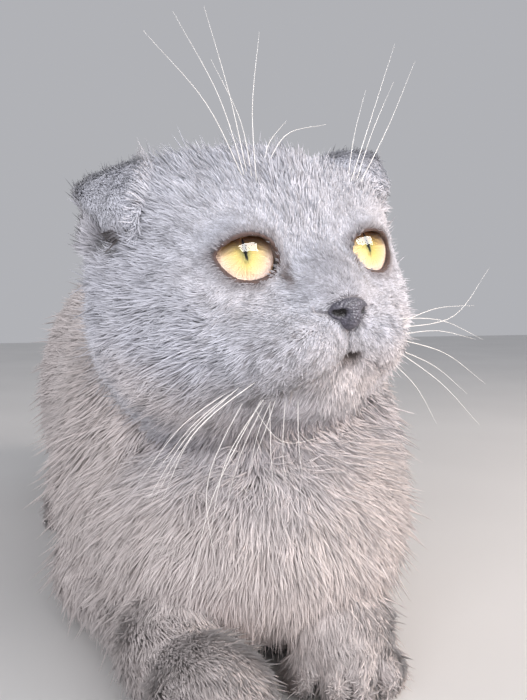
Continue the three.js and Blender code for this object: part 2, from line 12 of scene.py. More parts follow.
import bpy
import numpy as np
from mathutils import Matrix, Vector


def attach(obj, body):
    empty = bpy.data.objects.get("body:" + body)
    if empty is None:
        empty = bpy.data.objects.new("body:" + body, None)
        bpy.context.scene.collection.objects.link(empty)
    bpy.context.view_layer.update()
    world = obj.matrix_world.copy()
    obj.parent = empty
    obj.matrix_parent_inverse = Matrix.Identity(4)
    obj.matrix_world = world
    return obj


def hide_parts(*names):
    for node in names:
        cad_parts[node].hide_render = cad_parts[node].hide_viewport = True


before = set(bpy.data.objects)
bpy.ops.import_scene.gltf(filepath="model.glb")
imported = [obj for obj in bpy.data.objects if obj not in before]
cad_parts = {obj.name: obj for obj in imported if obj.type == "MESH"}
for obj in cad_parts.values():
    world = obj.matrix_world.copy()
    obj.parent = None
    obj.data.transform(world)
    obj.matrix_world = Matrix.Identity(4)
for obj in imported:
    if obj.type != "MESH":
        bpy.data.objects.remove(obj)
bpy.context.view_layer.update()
MM = 0.001
print("nodes in the frame:", len(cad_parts))

# %% [markdown]
# ## Camera
# The photo was taken from close by, at the height of the cat's chin, from its right and in front. A lens as
# long as the sensor's long side gives a focal length of 700 pixels in a picture that is 700 pixels high.

# %% The camera
CAMERA_AT = (-69, -328, 120)
CAMERA_TURN = 18
CAMERA_DOWN = 3.7
SENSOR = 36

lens = bpy.data.cameras.new("camera")
lens.lens = SENSOR
lens.sensor_width = SENSOR
lens.clip_start = 0.01
camera = bpy.data.objects.new("camera", lens)
camera.location = np.array(CAMERA_AT) * MM
camera.rotation_euler = (math.radians(90 - CAMERA_DOWN), 0, math.radians(-CAMERA_TURN))
bpy.context.scene.collection.objects.link(camera)
bpy.context.scene.camera = camera
print("camera at", CAMERA_AT, "mm")

# %% [markdown]
# ## Fields
# A field gives each point's distance to a form, negative inside it. Fields of simple forms are easy to join
# with a round fillet, which is how flesh runs from one part of a body into the next. The points come as an
# array with one row for each point, so that a field works on all of them at once.

# %% Simple forms
def unit(vectors):
    return vectors / np.maximum(np.linalg.norm(vectors, axis=-1, keepdims=True), 1e-9)


def turned(axis, degrees):
    """A matrix that turns a point round X, Y or Z. Its columns are the turned axes."""
    c, s = math.cos(math.radians(degrees)), math.sin(math.radians(degrees))
    i, j = {"x": (1, 2), "y": (2, 0), "z": (0, 1)}[axis]
    turn = np.eye(3)
    turn[i, i] = turn[j, j] = c
    turn[i, j], turn[j, i] = -s, s
    return turn


def ellipsoid(points, centre, radii, turn=np.eye(3)):
    scaled = ((points - centre) @ turn) / radii
    reach = np.linalg.norm(scaled, axis=1)
    steepness = np.linalg.norm(scaled / radii, axis=1)
    return reach * (reach - 1) / np.maximum(steepness, 1e-9)


def limb(points, start, end, start_radius=0, end_radius=0):
    """A round limb between two places. Without radii this is the distance to the line between them."""
    start = np.asarray(start, float)
    along = np.asarray(end, float) - start
    t = np.clip((points - start) @ along / (along @ along), 0, 1)
    away = np.linalg.norm(points - start - t[:, None] * along, axis=1)
    return away - start_radius - (end_radius - start_radius) * t


# %% How forms join
def joined(fillet, *values):
    whole = values[0]
    for value in values[1:]:
        h = np.maximum(fillet - np.abs(whole - value), 0) / fillet
        whole = np.minimum(whole, value) - h * h * fillet / 4
    return whole


def carved(fillet, value, cut):
    return -joined(fillet, -value, cut)


def blend(low, high, value):
    """0 up to low, 1 from high on, smooth between."""
    t = np.clip((value - low) / (high - low), 0, 1)
    return t * t * (3 - 2 * t)


def spot(points, place, full, none):
    """1 within one distance of a place, 0 beyond another."""
    return 1 - blend(full, none, np.linalg.norm(points - place, axis=1))


# %% [markdown]
# ## The body's forms
# The sizes are those of a young cat of the breed: pupils 45 mm apart, a round head about 115 mm wide in its
# coat, a barrel of a trunk, and short thick legs. The head has a frame of its own, because its features are
# easier to place where the face looks along -Y.

# %% Sizes of the head
HEAD_AT = np.array([-1.5, -98, 124])
HEAD_TURN = turned("z", 14) @ turned("x", -7) @ turned("y", -5)
HALF_WIDTH, HALF_DEPTH, CROWN = 54.5, 46, 45
SIDES = {"left": 1, "right": -1}
EYE_RADIUS = 10.5
EYES_APART = 45
EYE_HEIGHT = 6
EYE_FORWARD = 34
EYE_SPLAY = 16
EYE_SLANT = 10


def to_head(points):
    return (points - HEAD_AT) @ HEAD_TURN


def from_head(points):
    return np.asarray(points, float) @ HEAD_TURN.T + HEAD_AT


def eye_place(side):
    """The eyeball's centre in the head's frame, and the turn of the eye."""
    x = side * (EYES_APART / 2 - math.sin(math.radians(EYE_SPLAY)) * EYE_RADIUS * 0.5)
    turn = turned("z", side * EYE_SPLAY) @ turned("y", -side * EYE_SLANT)
    return np.array([x, -EYE_FORWARD, EYE_HEIGHT]), turn


def to_eye(q, side):
    """Points in an eye's own frame, and their distance from its middle."""
    centre, turn = eye_place(side)
    e = (q - centre) @ turn
    return e, np.linalg.norm(e, axis=1)


# %% The form of the head
def pair(q, place, radii):
    """The same ellipsoid on the left and on the right."""
    return [ellipsoid(q, place * np.array([side, 1, 1]), radii) for side in SIDES.values()]


def skull(q):
    """The brain case, the two crowns, the cheeks, the forehead, the jaw and the brows."""
    return joined(
        18,
        ellipsoid(q, [0, 3, 3], [HALF_WIDTH - 5, HALF_DEPTH - 1, CROWN - 6]),
        *pair(q, [15, 3, 16], [24, 33, 24]),
        *pair(q, [26, -6, -12], [HALF_WIDTH - 27, 35, 30]),
        ellipsoid(q, [0, -10, 16], [36, 27, 26]),
        ellipsoid(q, [0, -8, -18], [40, 34, 24]),
        *pair(q, [34, -8, 22], [15, 20, 14]),
    )


def muzzle(q):
    bridge = ellipsoid(q, [0, -42, -8], [13, 15, 13])
    pads = pair(q, [11.5, -41.5, -21], [15.5, 15, 12.5])
    chin = ellipsoid(q, [0, -37, -32], [16, 13, 11])
    return joined(5, joined(6, bridge, *pads), chin)


def head_form(q):
    return joined(11, skull(q), muzzle(q))


# %% Sizes of the body
FLOOR_SINK = 3.5
SHOULDER = {"x": 41, "y": -58, "z": 62, "radii": [26, 42, 46]}
CHEST_X = 5
ELBOW = {"x": 50, "z": 19, "radius": 18}
ELBOW_Y = {"left": -28, "right": -56}
WRIST = {"z": 15.5, "radius": 15.5}
FOREPAW_AT = {"left": [24, -124], "right": [-26, -150]}
PAW = {"half_width": 17.5, "height": 28, "length": 46, "toe": 7.8, "toes_apart": 8.4}
THIGH = {"x": 38, "y": 118, "z": 52, "radii": [27, 58, 56]}
HIND_FOOT = {"x": 49, "heel_y": 152, "toe_y": 50, "radius": 13}
TAIL = {"root_radius": 13, "tip_radius": 8.5, "side_x": 92, "tip_y": 84}
TAIL_STUB = (np.array([-5, 150, 54]), np.array([-5, 200, 36]))
# Each barrel's middle in x and y, its top, half its width and length, and its underside
CHEST_BARREL = (5, -54, 124, 60, 60, 2)
RIBS = (0, 28, 144, 61, 84, -9)
HIPS = (-5, 114, 149, 60, 76, 0)


def barrel(p, x, y, top, half_width, half_length, underside):
    rise = (top - underside) / 2
    return ellipsoid(p, [x, y, top - rise], [half_width, half_length, rise])


def paw_form(p, wrist, paw, aim):
    side = np.array([-aim[1], aim[0], 0])
    heading = turned("z", math.degrees(math.atan2(aim[0], -aim[1])))
    toes = []
    for k in (-1.5, -0.5, 0.5, 1.5):
        ahead = PAW["length"] * (0.22 if abs(k) > 1 else 0.31)
        x, y, _ = paw + aim * ahead + side * k * PAW["toes_apart"]
        toe = PAW["toe"]
        toes.append(ellipsoid(p, [x, y, toe * 1.1 - 2.5], [toe * 0.86, toe * 1.25, toe * 1.1], heading))
    pad = ellipsoid(p, paw, [PAW["half_width"], PAW["length"] * 0.42, PAW["height"] / 2 + 1], heading)
    back = joined(8, pad, limb(p, wrist, paw, 15, 13))
    return joined(4, back, joined(2.5, *toes))


# %% The lines of the legs and the tail
def foreleg_points(name):
    side = SIDES[name]
    elbow = np.array([CHEST_X + side * ELBOW["x"], ELBOW_Y[name], ELBOW["z"]])
    paw = np.array([*FOREPAW_AT[name], PAW["height"] / 2 - FLOOR_SINK + 3])
    wrist = elbow + (paw - elbow) * 0.7
    wrist[2] = WRIST["z"]
    aim = unit((paw - wrist) * [1, 1, 0])
    return elbow, wrist, paw, aim


def hind_points(name):
    side = SIDES[name]
    x, z = side * HIND_FOOT["x"], HIND_FOOT["radius"] - FLOOR_SINK
    heel = np.array([x - side * 3, HIND_FOOT["heel_y"], z + 2])
    wrist = np.array([x, HIND_FOOT["toe_y"] + 40, z + 1])
    paw = np.array([x, HIND_FOOT["toe_y"] + 22, z + 1])
    return heel, wrist, paw, np.array([0, -1.0, 0])


def smooth_line(points, count):
    """Evenly spread points on a smooth line through the given ones."""
    given = np.array(points, float)
    padded = np.vstack([2 * given[0] - given[1], given, 2 * given[-1] - given[-2]])
    share = np.linspace(0, 1, 24, endpoint=False)[:, None]
    pieces = []
    for a, b, c, d in zip(padded, padded[1:], padded[2:], padded[3:]):
        bend = (2 * a - 5 * b + 4 * c - d) * share**2 + (3 * (b - c) + d - a) * share**3
        pieces.append(b + ((c - a) * share + bend) / 2)
    line = np.vstack([*pieces, given[-1:]])
    reach = np.concatenate([[0], np.cumsum(np.linalg.norm(np.diff(line, axis=0), axis=1))])
    wanted = np.linspace(0, reach[-1], count)
    return np.stack([np.interp(wanted, reach, line[:, i]) for i in range(3)], 1)


def tail_line():
    root = TAIL_STUB[0] * 0.14 + TAIL_STUB[1] * 0.86
    rest = TAIL["root_radius"] - FLOOR_SINK + 2
    x, tip_y = TAIL["side_x"], TAIL["tip_y"]
    points = [
        root,
        root + unit(TAIL_STUB[1] - TAIL_STUB[0]) * 12,
        (10, 222, rest + 3),
        (38, 230, rest),
        (70, 218, rest),
        (x - 4, 184, rest),
        (x, 140, rest - 0.5),
        (x - 2, tip_y, rest - 3),
    ]
    return smooth_line(points, 40)


TAIL_LINE = tail_line()
FORELEGS = {name: foreleg_points(name) for name in SIDES}
HINDLEGS = {name: hind_points(name) for name in SIDES}
print("tail", round(float(np.linalg.norm(np.diff(TAIL_LINE, axis=0), axis=1).sum())), "mm long")

# %% [markdown]
# ## Ears
# A fold's ear rises from the head behind a crease, turns over there and hangs forward and down over its
# opening. Its field is the distance to a sheet that follows that path, as wide as the ear is at each place.

# %% The folded ears
# The inner and the outer end of each ear's crease, and its tip
EARS = {
    "left": [(36, -10, 45.5), (55, -14, 46), (57, -27, 28)],
    "right": [(-36, -10, 42), (-55, -4, 36), (-57, -20, 19)],
}
EAR_THICKNESS = 4
EAR_BEND = 0.026
EAR_STEPS = 25


def ear_frame(name):
    """The middle of an ear's crease, its axes along, down and out, its fall and half its width."""
    inner, outer, tip = np.array(EARS[name], float)
    crease = (inner + outer) / 2
    along = unit(outer - inner)
    down = tip - crease
    down -= along * (down @ along)
    fall = float(np.linalg.norm(down))
    down /= fall
    out = np.cross(along, down)
    out *= np.sign(out @ crease)
    return crease, np.stack([along, down, out], 1), fall, float(np.linalg.norm(outer - inner)) / 2


def ear_path(fall):
    """The ear from its root over the crease to its tip: down the flap, and outward."""
    path = [(6, -17), (0.5, -9), (-0.5, -3), (3, 0), (fall * 0.45, 0.5), (fall * 0.75, -1), (fall, -3.5)]
    return smooth_line([(x, y, 0) for x, y in path], EAR_STEPS + 1)[:, :2]


def ear_form(q, name):
    """The distance to the ear, and each point's share of the way from its root to its tip."""
    crease, axes, fall, half_width = ear_frame(name)
    value = np.linalg.norm(q - crease, axis=1) - 20
    all_shares = np.zeros(len(q))
    near = value < 30
    q = q[near]
    across, x, y = ((q - crease) @ axes).T
    line = ear_path(fall)
    best = np.full(len(q), 1e3)
    share = np.zeros(len(q))
    for i, (start, end) in enumerate(zip(line[:-1], line[1:])):
        bend = EAR_BEND * across**2 * min(1, 2 * i / EAR_STEPS)
        step = end - start
        dx, dy = x - start[0], y + bend - start[1]
        t = np.clip((dx * step[0] + dy * step[1]) / (step @ step), 0, 1)
        away = np.hypot(dx - t * step[0], dy - t * step[1])
        share = np.where(away < best, (i + t) / EAR_STEPS, share)
        best = np.minimum(best, away)
    width = (half_width + 1) * np.sqrt(np.clip(1 - np.clip((share - 0.45) / 0.55, 0, 1) ** 2.6, 0, 1))
    beyond = np.maximum(np.abs(across) - width + EAR_THICKNESS / 2, 0)
    value[near] = np.hypot(best, beyond) - EAR_THICKNESS / 2
    all_shares[near] = share
    return value, all_shares


def with_ears(value, parts, q):
    """The head's surface with a hollow behind each ear's flap, and the ears on it."""
    for name in SIDES:
        crease, axes, fall, _ = ear_frame(name)
        hollow = crease + axes @ [0, fall / 2, -9]
        value = carved(3, value, np.linalg.norm(q - hollow, axis=1) - 8)
        value = joined(3, value, parts[f"ear_{name}"])
    return value


# %% [markdown]
# ## The whole animal
# Each named part is a field of its own, since later steps ask which part a point of the coat belongs to.
# The whole is made of the same fields: the trunk first, then the neck and the head, and the legs and the
# tail last.

# %% The tail and the legs as fields
def tail_form(p):
    """The tail's distance, and how far along it each point lies. Far off, a rough distance does."""
    margin = 40
    outside = np.maximum(TAIL_LINE.min(0) - margin - p, p - TAIL_LINE.max(0) - margin)
    whole = np.linalg.norm(np.maximum(outside, 0), axis=1) + margin - TAIL["root_radius"]
    all_shares = np.zeros(len(p))
    near = (outside < 0).all(1)
    p = p[near]
    best = np.full(len(p), 1e3)
    share = np.zeros(len(p))
    last = len(TAIL_LINE) - 2
    for i, (start, end) in enumerate(zip(TAIL_LINE[:-1], TAIL_LINE[1:])):
        t = (i + np.array([0, 1])) / (last + 1)
        radius = TAIL["root_radius"] + (TAIL["tip_radius"] - TAIL["root_radius"]) * t**2
        if i == last:
            end = start + (end - start) * 0.4
        value = limb(p, start, end, *radius)
        share = np.where(value < best, t[0], share)
        best = np.minimum(best, value)
    whole[near] = best
    all_shares[near] = share
    return whole, all_shares


def foreleg(p, name):
    side = SIDES[name]
    elbow, wrist, paw, aim = FORELEGS[name]
    x, y, z = CHEST_X + side * SHOULDER["x"], SHOULDER["y"], SHOULDER["z"]
    upper = joined(
        14,
        ellipsoid(p, [x, y, z], SHOULDER["radii"]),
        limb(p, [CHEST_X + side * 43, -56, 52], elbow, 23, ELBOW["radius"]),
    )
    fore = limb(p, elbow, wrist, ELBOW["radius"] - 1, WRIST["radius"])
    return upper, fore, paw_form(p, wrist, paw, aim)


def hindleg(p, name):
    heel, wrist, paw, aim = HINDLEGS[name]
    middle = [SIDES[name] * THIGH["x"], THIGH["y"], THIGH["z"]]
    thigh = ellipsoid(p, middle, THIGH["radii"], turned("x", -12))
    foot = limb(p, heel, wrist, 13, HIND_FOOT["radius"] + 1)
    return thigh, foot, paw_form(p, wrist, paw, aim)


# %% All the parts and the coat over them
def body_parts(p):
    """Each named part's distance. The coat runs over all of them."""
    q = to_head(p)
    parts = {
        "chest": joined(24, barrel(p, *CHEST_BARREL), ellipsoid(p, [4, -93, 45], [56, 49, 43])),
        "trunk": joined(24, barrel(p, *RIBS), barrel(p, *HIPS)),
        "stub": limb(p, *TAIL_STUB, 22, TAIL["root_radius"]),
        "neck": limb(p, [2, -44, 80], [-1, -74, 110], 48, 42),
        "head": head_form(q),
    }
    for name in SIDES:
        upper, fore, paw = foreleg(p, name)
        thigh, foot, toes = hindleg(p, name)
        parts[f"upper_arm_{name}"] = upper
        parts[f"forearm_{name}"] = fore
        parts[f"forepaw_{name}"] = paw
        parts[f"thigh_{name}"] = thigh
        parts[f"hind_foot_{name}"] = joined(9, foot, toes)
        parts[f"ear_{name}"], _ = ear_form(q, name)
    parts["tail"], _ = tail_form(p)
    return parts


def coat_form(p, parts=None):
    """The outside of the coat, with all the parts run together."""
    f = parts or body_parts(p)
    trunk = joined(16, joined(24, f["chest"], f["trunk"]), f["stub"])
    whole = joined(14, joined(22, trunk, f["neck"]), f["head"])
    whole = with_ears(whole, f, to_head(p))
    kinds = [("upper_arm", "forearm", "forepaw"), ("thigh", "hind_foot")]
    legs = [joined(9, *(f[f"{part}_{name}"] for part in kind)) for kind in kinds for name in SIDES]
    return joined(5, joined(12, whole, *legs), f["tail"])


# %% [markdown]
# ## The coat's depth
# A table says, for each part, how deep the skin lies under the outside of the coat, how long and wide a
# tuft is and how far it stands off. Between two parts the values run into each other, weighted by how near
# each part is. On the face the coat gets finer towards the eyes, the nose and the lips.

# %% The coat of each part
# depth, tuft length and width in mm, lift in degrees, and how many layers of tufts lie over each other
PLUSH = {
    "head": (4.4, 7.2, 0.56, 26, 7),
    "ear": (0.9, 3.4, 0.38, 10, 10),
    "neck": (6.5, 10, 0.5, 27, 12),
    "chest": (6.5, 10, 0.5, 27, 12),
    "trunk": (6, 12, 0.95, 23, 5),
    "stub": (6, 12, 0.95, 23, 5),
    "tail": (5.2, 11, 0.9, 27, 5),
    "upper_arm": (5.2, 10.5, 0.75, 25, 7),
    "forearm": (4, 8, 0.62, 22, 8),
    "forepaw": (2.4, 5, 0.52, 17, 8),
    "thigh": (5.6, 11, 0.9, 23, 5),
    "hind_foot": (2.8, 6, 0.7, 17, 5),
}
FACE_SHARE = 0.2
NOSE_TIP = np.array([0, -57, -10])


def sideless(name):
    return name.removesuffix("_left").removesuffix("_right")


def part_weights(parts):
    """How much each part counts at each point. An ear is thin, so that it counts alone on its own surface."""
    names = list(parts)
    near = np.exp(-np.clip(np.stack([parts[n] for n in names]), -60, 60) / 5)
    ears = [names.index(f"ear_{side}") for side in SIDES]
    near[ears] = 0
    near /= near.sum(0)
    for i in ears:
        on_ear = 1 - blend(0.5, 3.5, parts[names[i]])
        near *= 1 - on_ear
        near[i] = on_ear
    return names, near


def face_share(p):
    """1 over most of the head, falling to FACE_SHARE at the eyes, the nose and the mouth."""
    q = to_head(p)
    share = blend(3, 62, np.linalg.norm(q - NOSE_TIP, axis=1))
    for side in SIDES.values():
        eye = np.linalg.norm(q - eye_place(side)[0], axis=1)
        share = np.minimum(share, blend(10, 34, eye) + 0.02)
    return FACE_SHARE + (1 - FACE_SHARE) * share


def plush(p, parts=None):
    """Depth, tuft length, tuft width, lift and layers at each point."""
    names, weights = part_weights(parts or body_parts(p))
    values = weights.T @ np.array([PLUSH[sideless(name)] for name in names])
    on_head = weights[names.index("head")]
    finer = 1 - on_head * (1 - face_share(p))
    depth, length, width, lift, layers = values.T
    return depth * finer, length * finer, width * finer**0.5, lift * (0.5 + 0.5 * finer), layers


# %% [markdown]
# ## The face
# The lids are a thin shell round the eyeball, opened by an almond that widens towards the front. The line
# of the mouth, the cleft under the nose and the slits beside it are narrow grooves, cut along short
# straight pieces.

# %% The lids
# An eye's opening from its outer corner over the top to its inner corner and back below, in the eye's frame
EYE_OUTLINE = [(7.8, -0.4), (5.7, 2.1), (2.6, 4), (-0.6, 5.1), (-4, 5.6), (-7, 4.8), (-9.1, 2.4)]
EYE_OUTLINE += [(-9.9, -0.3), (-8.9, -2.8), (-5.6, -5.1), (-1.6, -6.2), (2.4, -5.7), (5.6, -3.6)]
INNER_CORNER = EYE_OUTLINE[7]
LID = 1.6


def polar_outline(points):
    """The distance of a closed outline from its middle in each direction."""
    closed = np.array([*points[-2:], *points, *points[:3]], float)
    outline = smooth_line(np.column_stack([closed, np.zeros(len(closed))]), 200)[:, :2]
    angle = np.arctan2(outline[:, 1], outline[:, 0])
    order = np.argsort(angle)
    return angle[order], np.hypot(*outline[order].T)


EYE_ANGLES, EYE_REACH = polar_outline(EYE_OUTLINE)


def eye_opening(e, side):
    """The distance from the opening between the lids, for points in the eye's frame."""
    ahead = -e[:, 1]
    widen = 1 + 0.75 * np.clip((ahead - EYE_RADIUS + 2) / 17.5, 0, 1)
    x, z = side * e[:, 0] / widen, e[:, 2] / widen
    reach = np.interp(np.arctan2(z, x), EYE_ANGLES, EYE_REACH, period=2 * np.pi)
    return np.maximum((np.hypot(x, z) - reach) * widen, 2 - ahead)


def with_lids(value, p):
    for side in SIDES.values():
        e, ball = to_eye(to_head(p), side)
        value = joined(2.5, value, ball - EYE_RADIUS - LID)
        value = carved(0.3, value, ball - EYE_RADIUS - 0.15)
        value = carved(1.0, value, eye_opening(e, side))
    return value


# %% The mouth
# All places are x and z in the head's frame. The line of the lips runs from its middle out.
LIP_LINE = [(0, -24.2), (4, -25.2), (8.5, -27.4), (13, -29.4), (17, -31.4), (20.5, -32.8)]
LIP_RADIUS = 0.6
# A small dark gap shows where the lips meet in the middle
LIP_GAP = [(-0.6, -24.4), (2.2, -24.6)]
LIP_GAP_RADIUS = 1.5
# The cleft runs down from the nose's base to the lips, and a slit runs outward from each wing of the nose
CLEFT_HEIGHTS = (-16, -20, -24.2)
SLIT = [(5, -12.6), (7, -12.2), (9.4, -11.6)]


def on_face(x, z, sink=0):
    """The place on the face's skin straight behind a place in front of it, in the head's frame."""
    y = -90.0
    for _ in range(60):
        at = np.array([[x, y, z]])
        y += max(float((head_form(at) + face_depth(at))[0]) * 0.7, 0)
    return np.array([x, y + sink, z])


def face_depth(q):
    return PLUSH["head"][0] * face_share(from_head(q))


MOUTH_CHAINS = [[on_face(s * x, z, 0.2) for x, z in LIP_LINE] for s in (1, -1)]
MOUTH_CHAINS.append([on_face(0, z, 0.1) for z in CLEFT_HEIGHTS])
MOUTH_CHAINS += [[on_face(s * x, z, 0.1) for x, z in SLIT] for s in (1, -1)]
GAP_CHAIN = [on_face(x, z) for x, z in LIP_GAP]


def lip_gap(q):
    return limb(q, *GAP_CHAIN, LIP_GAP_RADIUS, LIP_GAP_RADIUS)


def along_chain(q, chain):
    """The distance to a line through several places."""
    return np.minimum.reduce([limb(q, start, end) for start, end in zip(chain, chain[1:])])


def mouth_lines(q):
    """The distance to the line of the mouth, the cleft and the slits beside the nose."""
    return np.minimum.reduce([along_chain(q, chain) for chain in MOUTH_CHAINS])


# %% The whole skin
def skin_form(p):
    parts = body_parts(p)
    value = coat_form(p, parts) + plush(p, parts)[0]
    near = parts["head"] < 12
    head = with_lids(value[near], p[near])
    head = carved(0.6, head, mouth_lines(to_head(p[near])) - LIP_RADIUS)
    value[near] = carved(0.8, head, lip_gap(to_head(p[near])))
    return np.maximum(value, 0.4 - p[:, 2])


# %% [markdown]
# ## From field to mesh
# A surface net puts one vertex in each cell that the surface passes through and one face across each grid
# edge that it cuts. Its faces are even quads without slivers. The grid's steps are fine over the face and
# wide elsewhere, and the field is worked out in full only near the surface, which saves most of the time.

# %% The grid
def banded(low, high, *bands):
    """Grid lines from low to high. Each band is (start, end, step). The last value is the step elsewhere."""
    *fine, coarse = bands
    lines = [low]
    while lines[-1] < high:
        step = min([s for a, b, s in fine if a - s < lines[-1] < b] + [coarse])
        lines.append(lines[-1] + step)
    return np.array(lines)


def slope(field, points, step=0.05):
    """The way that the field rises at each point, from its values a step away."""
    steps = np.eye(3) * step
    return np.stack([field(points + s) - field(points - s) for s in steps], 1) / (2 * step)


def settle(field, points):
    """Points moved onto the surface in two rounds."""
    for _ in range(2):
        rise = slope(field, points)
        size = np.maximum((rise * rise).sum(1), 0.05)
        points = points - rise * np.clip(field(points) / size, -0.8, 0.8)[:, None]
    return points


def grid_values(field, xs, ys, zs, block=4):
    """The field on the grid, worked out in full only in blocks that the surface may pass through."""
    axes = [np.array_split(np.arange(len(a)), math.ceil(len(a) / block)) for a in (xs, ys, zs)]
    grids = (xs, ys, zs)
    middles = [np.array([g[i].mean() for i in axis]) for g, axis in zip(grids, axes)]
    halves = [np.array([np.ptp(g[i]) / 2 + 1 for i in axis]) for g, axis in zip(grids, axes)]
    centres = np.stack(np.meshgrid(*middles, indexing="ij"), -1).reshape(-1, 3)
    reach = np.linalg.norm(np.stack(np.meshgrid(*halves, indexing="ij"), -1).reshape(-1, 3), axis=1)
    rough = np.concatenate([field(c) for c in np.array_split(centres, 8)])
    near = np.abs(rough) < reach * 1.5 + 3
    shape = [len(axis) for axis in axes]
    owner = [np.concatenate([np.full(len(i), n) for n, i in enumerate(axis)]) for axis in axes]
    ids = np.ravel_multi_index(np.meshgrid(*owner, indexing="ij"), shape)
    values = np.where(rough[ids] < 0, -50.0, 50.0)
    full = near[ids]
    points = np.stack(np.meshgrid(*grids, indexing="ij"), -1)[full]
    values[full] = np.concatenate([field(c) for c in np.array_split(points, max(1, len(points) // 200000))])
    return values


# %% The surface net
CORNERS = np.array([[i, j, k] for i in (0, 1) for j in (0, 1) for k in (0, 1)])
EDGES = [(a, b) for a in range(8) for b in range(8) if a < b and np.abs(CORNERS[a] - CORNERS[b]).sum() == 1]


def surface_net(field, xs, ys, zs):
    values = grid_values(field, xs, ys, zs)
    inside = values < 0
    n = [len(xs) - 1, len(ys) - 1, len(zs) - 1]
    corner = [inside[i : i + n[0], j : j + n[1], k : k + n[2]] for i, j, k in CORNERS]
    crossed = np.any(corner, axis=0) & ~np.all(corner, axis=0)
    cells = np.argwhere(crossed)
    at = cells[:, None] + CORNERS
    place = np.stack([g[at[..., i]] for i, g in enumerate((xs, ys, zs))], -1)
    value = values[at[..., 0], at[..., 1], at[..., 2]]
    total = np.zeros((len(cells), 3))
    count = np.zeros(len(cells))
    for a, b in EDGES:
        cut = (value[:, a] < 0) != (value[:, b] < 0)
        t = np.where(cut, value[:, a] / np.where(cut, value[:, a] - value[:, b], 1), 0)[:, None]
        total += np.where(cut[:, None], place[:, a] + (place[:, b] - place[:, a]) * t, 0)
        count += cut
    points = settle(field, total / count[:, None])
    number = np.full(crossed.shape, -1)
    number[crossed] = np.arange(len(cells))
    quads = []
    for axis in range(3):
        step = np.eye(3, dtype=int)[axis]
        u, w = np.eye(3, dtype=int)[(axis + 1) % 3], np.eye(3, dtype=int)[(axis + 2) % 3]
        low = inside[tuple(slice(0, size - s) for size, s in zip(inside.shape, step))]
        high = inside[tuple(slice(s, None) for s in step)]
        edges = np.argwhere(low != high)
        edges = edges[np.all((edges - u - w >= 0) | (step > 0), axis=1)]
        edges = edges[np.all((edges < n) | (step > 0), axis=1)]
        faces = np.stack([number[tuple((edges - d).T)] for d in (u + w, w, 0 * u, u)], 1)
        flip = ~low[tuple(edges.T)]
        faces[flip] = faces[flip][:, ::-1]
        quads.append(faces)
    return points, np.vstack(quads)


def mesh_object(name, points, faces):
    """A smooth mesh from points in mm and faces of one size."""
    mesh = bpy.data.meshes.new(name)
    mesh.vertices.add(len(points))
    mesh.vertices.foreach_set("co", (np.asarray(points) * MM).astype(np.float32).ravel())
    size = faces.shape[1]
    mesh.loops.add(faces.size)
    mesh.loops.foreach_set("vertex_index", faces.astype(np.int32).ravel())
    mesh.polygons.add(len(faces))
    mesh.polygons.foreach_set("loop_start", np.arange(0, faces.size, size, dtype=np.int32))
    mesh.update(calc_edges=True)
    mesh.polygons.foreach_set("use_smooth", np.full(len(faces), True))
    made = bpy.data.objects.new(name, mesh)
    bpy.context.scene.collection.objects.link(made)
    return made


# %% The skin
FINE = 0.8
skin_points, skin_quads = surface_net(
    skin_form,
    banded(-104, 104, (-64, 62, FINE), 3.2),
    banded(-182, 248, (-162, -80, FINE), 3.6),
    banded(-4, 182, (84, 180, FINE), 3.2),
)
skin = mesh_object("skin", skin_points, skin_quads)
print("skin:", len(skin_points), "points")

# %% [markdown]
# ## The coat
# A plush coat is made of fine locks that stand off the skin along the lie of the hair. Particle hair would
# be quicker to make, but only meshes leave Blender. So each lock is a closed spindle with four corners: it
# is rooted in the skin, widest near the middle, and ends in a point. It is shaded mostly by the slope of
# the skin under it, which makes thousands of locks read as one soft surface.

# %% Smooth random values
WAVE_COUNT = 10


def waves(p, length, seed):
    """A smooth random value at each point, mostly from -1 to 1, that changes over about this length in mm."""
    rng = np.random.default_rng(seed)
    k = unit(rng.normal(size=(WAVE_COUNT, 3))) * 2 * np.pi
    k = k / (length * rng.uniform(0.7, 1.4, (WAVE_COUNT, 1)))
    return np.sin(p @ k.T + rng.uniform(0, 2 * np.pi, WAVE_COUNT)).sum(1) / math.sqrt(WAVE_COUNT / 2) / 2


# %% The lie of the coat
# Hair runs from the nose back over the head and away from each eye, down the chest, and back along the trunk
EYES = [eye_place(side)[0] for side in SIDES.values()]


def ear_way(q, name):
    """Along the ear's path, from the root over the crease to the tip."""
    _, axes, fall, _ = ear_frame(name)
    steps = np.diff(ear_path(fall), axis=0)
    index = np.minimum((ear_form(q, name)[1] * len(steps)).astype(int), len(steps) - 1)
    return steps[index] @ (HEAD_TURN @ axes[:, 1:]).T


